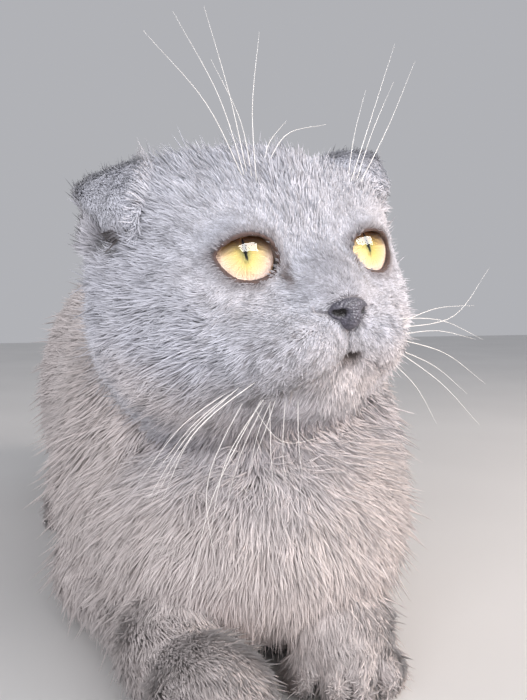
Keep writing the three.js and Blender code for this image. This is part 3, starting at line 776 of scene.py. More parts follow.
def lie(p, parts):
    """The way the hair lies at each point, before it is laid on the skin."""
    names, weights = part_weights(parts)
    q = to_head(p)
    on_head = unit(q - NOSE_TIP)
    for eye in EYES:
        on_head = on_head + unit((q - eye) * [1, 0, 1]) * spot(q, eye, 10, 24)[:, None] * 0.9
    _, share = tail_form(p)
    index = np.minimum((share * (len(TAIL_LINE) - 1)).astype(int), len(TAIL_LINE) - 2)
    spread = (p[:, :1] - CHEST_X) / 50
    ways = {
        "head": on_head @ HEAD_TURN.T,
        "neck": np.hstack([spread * 0.3, 0 * spread + 0.25, 0 * spread - 1]),
        "chest": np.hstack([spread * 0.45, 0 * spread + 0.15, 0 * spread - 1]),
        "trunk": np.array([0, 1, -0.45]),
        "stub": TAIL_STUB[1] - TAIL_STUB[0],
        "tail": TAIL_LINE[index + 1] - TAIL_LINE[index],
        "upper_arm": np.array([0, 0.45, -1]),
        "thigh": np.array([0, 0.75, -0.7]),
        "hind_foot": np.array([0, -1, -0.1]),
    }
    total = np.zeros_like(p)
    for name, weight in zip(names, weights):
        part, _, side = name.rpartition("_")
        if part in ("forearm", "forepaw"):
            way = FORELEGS[side][3] + [0, 0, -0.15]
        elif part == "ear":
            way = ear_way(q, side)
        else:
            way = ways[part if part in ways else name]
        total += unit(np.broadcast_to(way, p.shape)) * weight[:, None]
    return total


# %% Where tufts may grow
def bare(p):
    """1 where no hair grows: the eyes' openings, the lids' edges, the nose and the line of the mouth."""
    q = to_head(p)
    hidden = np.maximum(1 - blend(0.1, 0.5, mouth_lines(q)), 1 - blend(0, 0.6, lip_gap(q)))
    for side in SIDES.values():
        e, ball = to_eye(q, side)
        hidden = np.maximum(hidden, 1 - blend(EYE_RADIUS + 0.5, EYE_RADIUS + 0.9, ball))
        rim = blend(0.8, 1.6, eye_opening(e, side))
        hidden = np.maximum(hidden, (1 - rim) * (ball < EYE_RADIUS + 6))
    hidden = np.maximum(hidden, 1 - blend(0.2, 0.9, nose_pad(q)))
    return np.maximum(hidden, 1 - blend(0.8, 2.5, p[:, 2]))


def nose_pad(q):
    """The distance to the leather of the nose, in the head's frame."""
    top = ellipsoid(q, [0, -54, -11.2], [5.3, 4.2, 2.6])
    base = ellipsoid(q, [0, -54, -13.8], [3.3, 4.0, 3.8])
    return joined(1.4, top, base, *pair(q, [3.9, -53.4, -12.2], [2.5, 3.6, 2.3]))


# %% One tuft
MIDWAY = 0.45
SINK = 0.7
# How much a tuft is shaded by its own slope and not by the skin's, and how round it looks
CRISP = 0.18
ROUNDNESS = 0.3
# A tuft's corners are its root, its two sides and its tip, and it has two faces above and two below
SPINDLE = np.array([[0, 1, 2], [3, 2, 1], [1, 0, 3], [0, 2, 3]])


def tuft_points(root, normal, way, length, width, lift):
    """Four corners for each tuft, and the way each one faces: root, two sides and tip."""
    side = unit(np.cross(normal, way))
    angle = np.radians(lift)[:, None]
    aim = way * np.cos(angle) + normal * np.sin(angle)
    over = np.cross(aim, side) * -1
    over *= np.sign((over * normal).sum(1, keepdims=True))
    reach, half = length[:, None], width[:, None] / 2
    middle = root + aim * reach * MIDWAY + over * (half * 0.8 + reach * 0.02)
    tip = root + aim * reach
    corners = np.stack([root - normal * SINK, middle - side * half, middle + side * half, tip], 1)
    soft = normal * (1 - CRISP) + over * CRISP
    facing = unit(np.stack([soft, soft - side * ROUNDNESS, soft + side * ROUNDNESS, soft], 1))
    return corners, facing


# %% Roots of the tufts
TUFTS = 350000


def roots_on(points, quads, density, count, rng):
    """Random places on a mesh, more of them where it is dense: each triangle's corners and their shares."""
    triangles = np.vstack([quads[:, [0, 1, 2]], quads[:, [0, 2, 3]]])
    triangles = triangles[np.argsort(triangles[:, 0], kind="stable")]
    a, b, c = (points[triangles[:, i]] for i in range(3))
    area = np.linalg.norm(np.cross(b - a, c - a), axis=1) / 2
    reach = np.cumsum(area * density[triangles].mean(1))
    picked = np.searchsorted(reach, (np.arange(count) + rng.random(count)) / count * reach[-1])
    picked = np.minimum(picked, len(triangles) - 1)
    u, v = rng.random((2, count))
    u, v = np.where(u + v > 1, 1 - u, u), np.where(u + v > 1, 1 - v, v)
    return triangles[picked], np.stack([1 - u - v, u, v], 1)


rng = np.random.default_rng(7)
skin_normals = unit(slope(skin_form, skin_points, 0.3))
skin_parts = body_parts(skin_points)
skin_plush = plush(skin_points, skin_parts)
density = (1 - bare(skin_points)) * skin_plush[4] / (skin_plush[1] * skin_plush[2])
corners, shares = roots_on(skin_points, skin_quads, density, TUFTS, rng)


def at_root(values):
    return (values[corners] * (shares[..., None] if values.ndim > 1 else shares)).sum(1)


root = at_root(skin_points)
normal = unit(at_root(skin_normals))
root_parts = {name: at_root(values) for name, values in skin_parts.items()}
length, width, lift = (at_root(values) for values in skin_plush[1:4])
print("roots:", len(root))

# %% All the tufts
# How far the lie drifts over the coat and scatters from tuft to tuft
DRIFT, SCATTER = 0.3, 0.16
# A few guard hairs are longer, thinner and stand out more
GUARD_SHARE = 0.025
GUARD_LENGTH, GUARD_WIDTH, GUARD_LIFT = 1.45, 0.55, 16
LEAST_LIFT, MOST_LIFT = 4, 60
OFF_FLOOR = 0.3

drift = np.stack([waves(root, 11, seed) + 0.7 * waves(root, 4.5, seed + 20) for seed in (1, 2, 3)], 1)
way = unit(lie(root, root_parts)) + drift * DRIFT + rng.normal(size=root.shape) * SCATTER
way -= normal * (way * normal).sum(1, keepdims=True)
way = unit(way)
length *= 1 + 0.16 * waves(root, 14, 4) + 0.14 * rng.normal(size=TUFTS)
width *= rng.uniform(0.7, 1.35, TUFTS)
lift += 7 * waves(root, 8, 5) + 5 * rng.normal(size=TUFTS)
guard = rng.random(TUFTS) < GUARD_SHARE
length[guard] *= GUARD_LENGTH
width[guard] *= GUARD_WIDTH
lift[guard] += GUARD_LIFT
tufts, facing = tuft_points(root, normal, way, length, width, np.clip(lift, LEAST_LIFT, MOST_LIFT))
tufts[..., 2] = np.maximum(tufts[..., 2], OFF_FLOOR)
print("tufts:", len(tufts))

# %% [markdown]
# ## Colours of the coat
# Each lock is darkest at its root and silvery at its tip, and no two have quite the same tone. The face is
# a cool grey, and the chest and legs are a warmer taupe. One node group gives skin and coat these same
# colours, from four values that the meshes carry: the way along the lock, its tint, how warm the coat is
# there, and how stained or thin. The tint also holds painted light on the ears and painted shade on the
# forepaws. The coat is darker round the eyes, and stained below their inner corners, on the bridge of the
# nose and in rows of spots on the pads of the whiskers. The value for stains also holds painted shade: along
# the grooves of the mouth, in the gap between the lips and under the ears' flaps.

# %% Nodes
def new_material(name, roughness):
    material = bpy.data.materials.new(name)
    material.use_nodes = True
    shader = material.node_tree.nodes["Principled BSDF"]
    shader.inputs["Roughness"].default_value = roughness
    return material, shader


def add_node(tree, kind, links=(), **values):
    """A node with its inputs linked or set. Links are (input, output socket) pairs."""
    node = tree.nodes.new(kind)
    for name, value in values.items():
        setattr(node, name, value)
    for name, source in links:
        if hasattr(source, "is_output"):
            tree.links.new(source, node.inputs[name])
        else:
            node.inputs[name].default_value = source
    return node


def carried(tree, name, socket="Fac"):
    return add_node(tree, "ShaderNodeAttribute", attribute_name=name).outputs[socket]


def ramp(tree, source, *stops):
    node = add_node(tree, "ShaderNodeValToRGB", [("Fac", source)])
    elements = node.color_ramp.elements
    while len(elements) < len(stops):
        elements.new(0.5)
    for element, (place, colour) in zip(elements, stops):
        element.position = place
        element.color = (*colour, 1)
    return node.outputs["Color"]


def mixed(tree, share, first, second):
    """The first colour where the share is 0, the second where it is 1. The second may be a plain colour."""
    if not hasattr(second, "is_output"):
        second = (*second, 1)
    node = add_node(tree, "ShaderNodeMix", [(0, share), (6, first), (7, second)], data_type="RGBA")
    return node.outputs[2]


def ranged(tree, value, **limits):
    """A value stretched from one range to another, such as from_min=0.1, to_max=0.9."""
    links = [(name.replace("_", " ").title(), limit) for name, limit in limits.items()]
    return add_node(tree, "ShaderNodeMapRange", [("Value", value), *links]).outputs["Result"]


def noise(tree, scale, detail=2.0, place=None):
    """Fine random clouds all through the object, or over another place that is given."""
    if place is None:
        place = add_node(tree, "ShaderNodeTexCoord").outputs["Object"]
    links = [("Vector", place), ("Scale", scale), ("Detail", detail)]
    return add_node(tree, "ShaderNodeTexNoise", links).outputs["Fac"]


def raised(tree, shader, height, distance, strength=1.0):
    links = [("Height", height), ("Distance", distance), ("Strength", strength)]
    bump = add_node(tree, "ShaderNodeBump", links)
    tree.links.new(bump.outputs["Normal"], shader.inputs["Normal"])


# %% The node group of the coat
# Colours at a lock's root, middle and tip
COOL = ((0.19, 0.188, 0.21), (0.445, 0.452, 0.51), (0.74, 0.755, 0.84))
WARM = ((0.5, 0.452, 0.445), (0.65, 0.59, 0.585), (0.82, 0.755, 0.75))
# The brown of the stains, which also serves as painted shade
STAIN_AND_SHADE_BROWN = (0.12, 0.085, 0.075)
TINT_STRENGTH = 0.24


def plush_group():
    tree = bpy.data.node_groups.new("plush_colour", "ShaderNodeTree")
    for name in ("Along", "Tint", "Warm", "Stain_And_Shade"):
        tree.interface.new_socket(name=name, in_out="INPUT", socket_type="NodeSocketFloat")
    tree.interface.new_socket(name="Colour", in_out="OUTPUT", socket_type="NodeSocketColor")
    given = tree.nodes.new("NodeGroupInput").outputs
    result = tree.nodes.new("NodeGroupOutput")
    cool, warm = (ramp(tree, given["Along"], *zip((0, 0.5, 1), colours)) for colours in (COOL, WARM))
    body = mixed(tree, given["Warm"], cool, warm)
    links = [(0, given["Tint"]), (1, TINT_STRENGTH), (2, 1.0)]
    tone = add_node(tree, "ShaderNodeMath", links, operation="MULTIPLY_ADD")
    toned = add_node(tree, "ShaderNodeHueSaturation", [("Value", tone.outputs[0]), ("Color", body)])
    stained_and_shaded = mixed(tree, given["Stain_And_Shade"], toned.outputs["Color"], STAIN_AND_SHADE_BROWN)
    tree.links.new(stained_and_shaded, result.inputs["Colour"])
    return tree


PLUSH_COLOUR = plush_group()


# %% The materials of the coat and the skin
def plush_material(name, roughness):
    material, shader = new_material(name, roughness)
    tree = material.node_tree
    group = add_node(tree, "ShaderNodeGroup", node_tree=PLUSH_COLOUR)
    for value in ("along", "tint", "warm", "stain_and_shade"):
        tree.links.new(carried(tree, value), group.inputs[value.title()])
    tree.links.new(group.outputs["Colour"], shader.inputs["Base Color"])
    shader.inputs["Specular IOR Level"].default_value = 0.2
    shader.inputs["Sheen Weight"].default_value = 0.2
    shader.inputs["Sheen Roughness"].default_value = 0.4
    return material, shader, group


BARE_SKIN = (0.11, 0.07, 0.062)
# Black skin at the eyes' inner corners, and painted shade in the gap where the lips meet
BLACK_SKIN_AND_SHADE = (0.012, 0.009, 0.009)


def skin_under_coat():
    """The coat's colours, bare brownish skin at the lids' edges, and a fine bump for the shortest hair."""
    material, shader, group = plush_material("skin_under_coat", 0.8)
    tree = material.node_tree
    rim = mixed(tree, carried(tree, "rim"), group.outputs["Colour"], BARE_SKIN)
    # Black at the eyes' inner corners, and painted shade in the gap between the lips
    black = mixed(tree, carried(tree, "corner"), rim, BLACK_SKIN_AND_SHADE)
    tree.links.new(black, shader.inputs["Base Color"])
    raised(tree, shader, noise(tree, 1400.0, 4.0), 0.0004)
    return material


coat_material, _, _ = plush_material("plush_coat", 0.7)
skin_material = skin_under_coat()

# %% [markdown]
# ## Where the colours change
# Painting a mesh by hand would be hard to repeat. Here each value is worked out from where a point lies:
# how far from the face, from an eye, from the lips. The skin and the roots of the tufts use the same
# functions.

# %% Warmth and stains
def carry(made, name, values):
    attribute = made.data.attributes.new(name, "FLOAT", "POINT")
    attribute.data.foreach_set("value", np.asarray(values, np.float32))


def warmth(p, parts):
    """0 on the face and the ears, more under and behind the head, and 1 on the body, with a little drift."""
    head = np.minimum.reduce([parts["head"], parts["ear_left"], parts["ear_right"]])
    q = to_head(p)
    below, behind = blend(8, 36, -q[:, 2]), blend(2, 34, q[:, 1])
    drift = 0.25 * waves(p, 40, 9)
    return np.clip(blend(-4, 40, head) * 0.9 + 0.45 * below + 0.6 * behind + drift, 0, 1)


BRIDGE = (0, -52, -3)
TEARS = [(13.1, -44.1, 3.4), (12.2, -45.5, 0.3), (11.6, -48.1, -3.5)]
# The pads of the whiskers have dark spots, in four rows of four on each side
ROW_HEIGHTS = (-15, -18.5, -22, -25.5)
ROW_PLACES = (13, 17, 21, 25)
SPOTS = [
    on_face(side * (x + 1.5 * (row % 2)), z - 0.12 * x, -0.5)
    for row, z in enumerate(ROW_HEIGHTS)
    for x in ROW_PLACES
    for side in SIDES.values()
]


def stain_and_shade(p):
    """How brown or thin the coat is, and where painted shade darkens it. The strongest of all the stains and
    shades at a point counts.
    """
    q = to_head(p)
    # The bridge of the nose is stained, and painted shade darkens the coat along the grooves of the mouth
    value = np.maximum(0.22 * spot(q, BRIDGE, 3, 12), 0.35 * (1 - blend(0.2, 1.2, mouth_lines(q))))
    # Painted shade in the gap where the lips meet
    value = np.maximum(value, 0.85 * (1 - blend(-0.5, 1.6, lip_gap(q))))
    for place in SPOTS:
        value = np.maximum(value, 0.35 * spot(q, place, 0.3, 1.3))
    patchy = 0.6 + 0.3 * waves(p, 2.5, 17)
    for name, side in SIDES.items():
        e, ball = to_eye(q, side)
        round_eye = (1 - blend(0.8, 4, eye_opening(e, side))) * (ball < EYE_RADIUS + 7)
        tears = along_chain(q, [np.array(place) * [side, 1, 1] for place in TEARS])
        # Painted shade darkens the coat under each ear's flap, over the ear's opening
        crease, axes, fall, _ = ear_frame(name)
        hollow = crease + axes @ [2, fall * 0.8, -7]
        stains_and_shade = [0.45 * round_eye, patchy * (1 - blend(0.3, 2.6, tears)), 0.85 * spot(q, hollow, 3.5, 8)]
        value = np.maximum.reduce([value, *stains_and_shade])
    return value


# %% The skin's own values and its finish
def lid_rims(p):
    """How near each point is to the edge of an eye's opening, and to its black inner corner."""
    rim, corner = np.zeros((2, len(p)))
    for side in SIDES.values():
        e, ball = to_eye(to_head(p), side)
        edge = 1 - blend(0.6, 1.7, eye_opening(e, side))
        rim = np.maximum(rim, edge * (ball < EYE_RADIUS + 3.2))
        inner = [side * INNER_CORNER[0], -5.4, INNER_CORNER[1] - 0.6]
        corner = np.maximum(corner, spot(e, inner, 1.2, 2.4))
    return rim, corner


rim, corner = lid_rims(skin_points)
# Painted shade: the gap where the lips meet is painted black, like the eyes' inner corners
corner = np.maximum(corner, 0.85 * (1 - blend(-0.6, 0.9, lip_gap(to_head(skin_points)))))
carry(skin, "along", np.full(len(skin_points), 0.12))
carry(skin, "tint", 0.5 * waves(skin_points, 6, 8))
carry(skin, "warm", warmth(skin_points, skin_parts))
carry(skin, "stain_and_shade", stain_and_shade(skin_points))
carry(skin, "rim", rim)
carry(skin, "corner", corner)
skin.data.materials.append(skin_material)
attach(skin, "root")
flesh = [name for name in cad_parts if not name.startswith("eye") and name != "nose"]
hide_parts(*flesh)
print("the skin stands for", len(flesh), "nodes")

# %% [markdown]
# ## The coat in pieces
# One mesh with all the tufts would be too heavy for an exporter, so that each part of the body gets pieces
# of its own. Each piece also gets a map for baked colours. The part is unrolled like a tube: the angle
# round its axis and the way along it give a root's place, and its tuft is a small patch there.

# %% Unrolling a part
PATCH = 0.003
PATCH_SHAPE = np.array([[0, -0.5], [-0.5, 0], [0.5, 0], [0, 0.5]]) * PATCH
# A point on each part's axis, and the axis
TUBES = {
    "head": (HEAD_AT, HEAD_TURN[:, 0]),
    "ear": (HEAD_AT + [0, 0, 34], np.array([0, 1.0, 0])),
    "neck": (np.array([0, -60, 95]), np.array([0, -0.7, 0.7])),
    "chest": (np.array([5, -54, 60]), np.array([0, 0, 1.0])),
    "trunk": (np.array([0, 60, 66]), np.array([0, 1.0, 0])),
    "tail": (np.array([50, 180, 16]), np.array([0, 0, 1.0])),
    "upper_arm": (np.array([5, -58, 50]), np.array([0, 0, 1.0])),
    "forepaw": (np.array([0, -90, 14]), np.array([0, 0.3, 1.0])),
    "thigh": (np.array([0, 112, 45]), np.array([0, 0, 1.0])),
}


def unrolled(part, places):
    middle, axis = TUBES[part]
    axis = unit(axis)
    across = unit(np.cross(axis, [0.31, 0.42, 0.85]))
    away = places - middle
    angle = np.arctan2(away @ np.cross(axis, across), away @ across)
    along = away @ axis
    u = (angle + np.pi) / (2 * np.pi)
    v = (along - along.min()) / max(np.ptp(along), 1e-6)
    return np.stack([u, v], 1) * (1 - 2 * PATCH) + PATCH


# %% The tone of each tuft
# The mottle is strongest on the pads of the whiskers. Painted light makes the ears a little lighter than the
# rest, and painted shade makes the forepaws darker, the right one most
PADS = np.array([0, -50, -24])
tint = 0.5 * rng.normal(size=len(tufts)) + 0.6 * waves(root, 5, 8) + 0.5 * waves(root, 2.5, 12)
warm = warmth(root, root_parts)
stained_and_shaded = stain_and_shade(root)
names, weights = part_weights(root_parts)
on_ear = weights[names.index("ear_left")] + weights[names.index("ear_right")]
# Stronger mottle on the pads, and painted light that lightens the ears
tint = tint * (1 - 0.4 * warm + 0.5 * spot(to_head(root) * [0, 1, 1], PADS, 6, 22)) + 0.15 * on_ear
# Painted shade darkens the forepaws, the right one most
tint -= 0.6 * weights[names.index("forepaw_left")] + 1.4 * weights[names.index("forepaw_right")]
tint = np.clip(tint, -1.7, 1.3)
print("tints from", round(float(tint.min()), 2), "to", round(float(tint.max()), 2))

# %% The pieces of the coat
PIECE_LIMIT = 48000
ALONG = [0, 0.5, 0.5, 1]
# Small parts share the pieces of the part beside them
SHARED = {"stub": "tail", "forearm": "forepaw", "hind_foot": "thigh"}
owners = [SHARED.get(sideless(name), sideless(name)) for name in names]
owner = np.array(owners)[weights.argmax(0)]


def coat_piece(name, part, chosen):
    count = len(chosen)
    faces = (np.arange(count)[:, None, None] * 4 + SPINDLE).reshape(-1, 3)
    made = mesh_object(name, tufts[chosen].reshape(-1, 3), faces)
    made.data.normals_split_custom_set_from_vertices(facing[chosen].reshape(-1, 3))
    carry(made, "along", np.tile(ALONG, count))
    for value, values in (("tint", tint), ("warm", warm), ("stain_and_shade", stained_and_shaded)):
        carry(made, value, np.repeat(values[chosen], 4))
    at_corner = (unrolled(part, root[chosen])[:, None] + PATCH_SHAPE).reshape(-1, 2)
    baked = made.data.uv_layers.new(name="OFBake").data
    baked.foreach_set("uv", at_corner[faces.ravel()].astype(np.float32).ravel())
    made.data.materials.append(coat_material)
    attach(made, "root")
    return made


coat = []
for part in sorted(set(owner)):
    chosen = np.flatnonzero(owner == part)
    chosen = chosen[np.argsort(root[chosen] @ TUBES[part][1], kind="stable")]
    for i, some in enumerate(np.array_split(chosen, math.ceil(len(chosen) / PIECE_LIMIT))):
        coat.append(coat_piece(f"coat_{part}_{i + 1}", part, some))
        print(coat[-1].name, len(some), "tufts")

# %% [markdown]
# ## Nose
# The nose is a small pad of bare, blue-grey leather between the two pads of the whiskers. Its nostrils open
# at the sides like commas, and a groove runs down its middle. It comes from a field as the skin does, on a
# finer grid. Its surface is pebbled, which a cell texture gives as bump, and painted shade makes it black
# in its nostrils and its groove.

# %% The form of the nose
# A nostril's path, from the front to the side, and its radius at each place of the path
NOSTRIL = [(2.5, -58.4, -13.6), (3.8, -56.8, -13.3), (6.4, -54.6, -12.2)]
NOSTRIL_RADII = (0.9, 1.5, 0.6)


def nose_form(q):
    value = nose_pad(q)
    for side in SIDES.values():
        path = np.array(NOSTRIL) * [side, 1, 1]
        for piece in zip(path, path[1:], NOSTRIL_RADII, NOSTRIL_RADII[1:]):
            value = carved(0.4, value, limb(q, *piece))
    return carved(0.5, value, limb(q, (0, -58.8, -13.2), (0, -57.2, -18), 0.35, 0.5))


# %% The leather of the nose
LEATHER = (0.3, (0.065, 0.063, 0.082)), (0.7, (0.155, 0.15, 0.19))
NOSE_STEP = 0.3


def leather_of_nose():
    material, shader = new_material("nose_leather", 0.5)
    tree = material.node_tree
    place = add_node(tree, "ShaderNodeTexCoord").outputs["Object"]
    pebbles = add_node(tree, "ShaderNodeTexVoronoi", [("Vector", place), ("Scale", 1500.0)])
    fine = noise(tree, 900.0, 5.0, place)
    # Painted shade: black deep in the nostrils and the groove
    shaded_grooves = mixed(tree, carried(tree, "groove_shade"), ramp(tree, fine, *LEATHER), (0.012, 0.01, 0.012))
    tree.links.new(shaded_grooves, shader.inputs["Base Color"])
    tree.links.new(ranged(tree, fine, to_min=0.36, to_max=0.62), shader.inputs["Roughness"])
    raised(tree, shader, pebbles.outputs["Distance"], 0.0005, 0.8)
    return material


nose_grid = (banded(-9, 9, NOSE_STEP), banded(-60, -47, NOSE_STEP), banded(-19, -5, NOSE_STEP))
nose_points, nose_quads = surface_net(nose_form, *nose_grid)
nose = mesh_object("nose_leather", from_head(nose_points), nose_quads)
# Painted shade: how deep each point lies in a nostril or the groove
carry(nose, "groove_shade", 1 - blend(-0.8, -0.15, nose_pad(nose_points)))
nose.data.materials.append(leather_of_nose())
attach(nose, "root")
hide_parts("nose")
print("nose:", len(nose_points), "points")

# %% [markdown]
# ## Eyes
# Behind the clear dome of a cat's eye lies the iris, a shallow ring of fine fibres that run from its slit
# of a pupil to its dark rim. Each eyeball is one closed mesh: a sphere whose front is flattened into the
# iris, with the slit as a small pit. The fibres follow a value that goes round the iris. The dome is a
# second mesh of clear material. It throws no shadow, so that light reaches the iris as it does through a
# real cornea.

# %% Sizes of the eyes
# How far each eye looks outward and upward from straight ahead, in degrees
GAZE = {"left": (6, 20), "right": (10, 18)}
BALL_RADIUS = 10.35
IRIS_RADIUS = 9.75
IRIS_BULGE = 3.0
# Half the width and half the height of the pupil's slit, and how deep its pit is
PUPIL = (0.4, 2.9)
PIT = 0.1
AROUND = 96
ANGLES = np.linspace(0, 2 * np.pi, AROUND, endpoint=False)
ROUND_X, ROUND_Z = np.cos(ANGLES), np.sin(ANGLES)
# How far round the ball the dome reaches, in radians, how far it stands off the ball, and how much further
# it stands off in front
DOME_REACH = 1.35
DOME_CLEAR = 0.12
DOME_BULGE = 0.35


def gaze_turn(name):
    outward, upward = GAZE[name]
    return turned("z", SIDES[name] * outward) @ turned("x", -upward)


# %% Rings
def ring(x, y, z):
    """A ring of points. A coordinate that is the same all round may be one number."""
    return np.stack(np.broadcast_arrays(x, y, z), 1)


def ball_ring(radius, turn):
    """A ring on a ball that looks along -Y, at this angle from its front."""
    out = radius * math.sin(turn)
    return ring(out * ROUND_X, -radius * math.cos(turn), out * ROUND_Z)


def ring_faces(count):
    """Triangles between rings, closed by a first and a last point."""
    j = np.arange(AROUND)
    k = (j + 1) % AROUND
    last = 1 + count * AROUND
    faces = [np.stack([0 * j, 1 + k, 1 + j], 1)]
    for i in range(count - 1):
        a, b = 1 + i * AROUND, 1 + (i + 1) * AROUND
        faces += [np.stack([a + j, a + k, b + k], 1), np.stack([a + j, b + k, b + j], 1)]
    faces.append(np.stack([last - AROUND + j, last - AROUND + k, 0 * j + last], 1))
    return np.vstack(faces)[:, ::-1]


# %% Eyeballs and domes
def eyeball():
    """Rings from the pupil's pit over the iris and round to the back, and what each point carries."""
    slit_x = PUPIL[0] * ROUND_X * np.abs(ROUND_X) ** 0.4
    slit_z = PUPIL[1] * ROUND_Z
    rim_ahead = math.sqrt(BALL_RADIUS**2 - IRIS_RADIUS**2)
    rings = [ring(slit_x * share, -rim_ahead - PIT, slit_z * share) for share in (0.3, 1)]
    reach = [-1, -1]
    for t in np.linspace(0, 1, 14):
        x = slit_x + (IRIS_RADIUS * ROUND_X - slit_x) * t
        z = slit_z + (IRIS_RADIUS * ROUND_Z - slit_z) * t
        rings.append(ring(x, -rim_ahead - IRIS_BULGE * (1 - t) ** 0.7, z))
        reach.append(t)
    first = math.acos(rim_ahead / BALL_RADIUS)
    for turn in np.linspace(first, math.pi, 16)[1:-1]:
        rings.append(ball_ring(BALL_RADIUS, turn))
        reach.append(1 + turn - first)
    points = np.vstack([[[0, -rim_ahead - PIT, 0]], *rings, [[0, BALL_RADIUS, 0]]])
    reach = np.concatenate([[-1], np.repeat(reach, AROUND), [3]])
    around = np.tile(ring(ROUND_X, ROUND_Z, 0), (len(rings), 1))
    fibre = np.vstack([[[0, 0, 0]], around, [[0, 0, 0]]])
    return points, ring_faces(len(rings)), reach, fibre


def dome():
    """The clear dome in front of an eyeball: a cap that stands a little proud over the iris."""
    clear = BALL_RADIUS + DOME_CLEAR
    turns = np.linspace(0, DOME_REACH, 15)[1:]
    rings = [ball_ring(clear + DOME_BULGE * (1 - blend(0.2, DOME_REACH, turn)), turn) for turn in turns]
    faces = ring_faces(len(rings))
    return np.vstack([[[0, -clear - DOME_BULGE, 0]], *rings]), faces[faces.max(1) <= len(rings) * AROUND]


# %% The finish of the eyes
# The iris from the pupil to its dark rim, and the shade that the upper lid throws on it
IRIS = [
    (0.0, (0.03, 0.035, 0.012)),
    (0.04, (0.22, 0.2, 0.04)),
    (0.2, (0.46, 0.36, 0.08)),
    (0.5, (0.52, 0.37, 0.18)),
    (0.8, (0.63, 0.46, 0.4)),
    (0.92, (0.34, 0.18, 0.08)),
    (0.98, (0.05, 0.024, 0.014)),
]
AMBER = (0.14, 0.05, 0.014)
PUPIL_BLACK = (0.002, 0.002, 0.002)


def eye_material():
    material, shader = new_material("golden_iris", 0.45)
    tree = material.node_tree
    reach = carried(tree, "reach")
    links = [(0, carried(tree, "fibre", "Vector")), (1, (9.0, 9.0, 1.0))]
    spread = add_node(tree, "ShaderNodeVectorMath", links, operation="MULTIPLY")
    fibres = noise(tree, 2.2, 5.0, spread.outputs[0])
    links = [("Value", ranged(tree, fibres, to_min=0.78, to_max=1.14)), ("Color", ramp(tree, reach, *IRIS))]
    lined = add_node(tree, "ShaderNodeHueSaturation", links)
    top = ranged(tree, carried(tree, "height"), from_min=0.08, from_max=0.42)
    amber = mixed(tree, top, lined.outputs["Color"], AMBER)
    edge = add_node(tree, "ShaderNodeMath", [(0, reach), (1, 0.0)], operation="LESS_THAN")
    whole = mixed(tree, edge.outputs[0], amber, PUPIL_BLACK)
    tree.links.new(whole, shader.inputs["Base Color"])
    raised(tree, shader, fibres, 0.0003)
    return material


def cornea_material():
    material, shader = new_material("clear_cornea", 0.0)
    shader.inputs["Transmission Weight"].default_value = 1
    shader.inputs["IOR"].default_value = 1.376
    return material


iris_material, dome_material = eye_material(), cornea_material()

# %% Both eyes
for name, side in SIDES.items():
    centre, _ = eye_place(side)
    turn = gaze_turn(name)
    points, faces, reach, fibre = eyeball()
    ball = mesh_object(f"eyeball_{name}", from_head(centre + points @ turn.T), faces)
    carry(ball, "reach", reach)
    carry(ball, "height", (points @ turn.T)[:, 2] / BALL_RADIUS)
    attribute = ball.data.attributes.new("fibre", "FLOAT_VECTOR", "POINT")
    attribute.data.foreach_set("vector", fibre.astype(np.float32).ravel())
    ball.data.materials.append(iris_material)
    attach(ball, "root")
    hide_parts(f"eye_{name}")
    points, faces = dome()
    cornea = mesh_object(f"cornea_{name}", from_head(centre + points @ turn.T), faces)
    cornea.data.materials.append(dome_material)
    cornea.visible_shadow = False
    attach(cornea, "root")
print("eyes:", ", ".join(f"{name} looks {out} degrees outward" for name, (out, _) in GAZE.items()))

# %% [markdown]
# ## Whiskers
# Whiskers grow in rows on the pads beside the nose, and a few above each eye. They are stiff, taper to a
# thin tip and bow a little. Each is a thin tube along a line through its root, its bow and its tip, so that
# it leaves Blender as a mesh. Those of the near cheek droop, and those of the far one stand out.

# %% Places of the whiskers
# For each whisker: how far outward and how high its root is, the angle over the horizontal at which it stands
# out, its length, and how far it bows upward, in mm and degrees in the head's frame
NEAR_PAD = [
    (26.5, -28.6, -35.6, 38, 3), (26.2, -29.3, -37.5, 34, 2), (25.4, -27.7, -42, 42, 3),
    (23.3, -27.2, -40, 44, 4), (25, -30, -46, 38, 4), (23.3, -30.9, -76, 53, 8), (19.8, -31, -65, 68, 5),
    (19, -31.3, -61.4, 44, 4.4), (18, -32.7, -64, 37, 2), (17.1, -32.7, -65.8, 22, 1),
    (16.9, -32.1, -63.6, 24, -0.4), (14.9, -33, -86.1, 24, 0.6), (17.6, -33, -91, 33, 0.5),
    (12.5, -33, -92, 26, 0.8), (23.8, -31.3, -150, 38, 8),
]
FAR_PAD = [
    (20, -19, 17, 55, -7), (21, -16, -14, 46, 3), (18, -22, -25, 46, 3), (18, -25, -38, 48, 2),
    (24, -18, 4, 42, 2), (24, -21, -8, 40, 2), (22, -25, -30, 38, 2), (19, -28, -50, 30, 2),
]
NEAR_BROW = [
    (14, 28, 56, 49, 4), (13.6, 28.4, 69, 50, 3), (12.6, 29, 80, 50, 1),
    (12.4, 27, 75, 37, 3), (12.3, 25, 98, 47, -2), (6, 32, 148, 30, -5), (6.4, 32, 124, 20, -2),
]
FAR_BROW = [(27, 28, 59, 60, 0), (30, 27, 52, 60, -1), (30, 28, 56, 46, 1), (29, 30, 66, 36, 1)]
WHISKER_RADIUS = (0.17, 0.03)
WHISKER_POINTS = 16
# Each set's side, its whiskers and how far back they point
WHISKER_SETS = [(-1, NEAR_PAD, 0.2), (1, FAR_PAD, 0.12), (-1, NEAR_BROW, -0.06), (1, FAR_BROW, 0.02)]


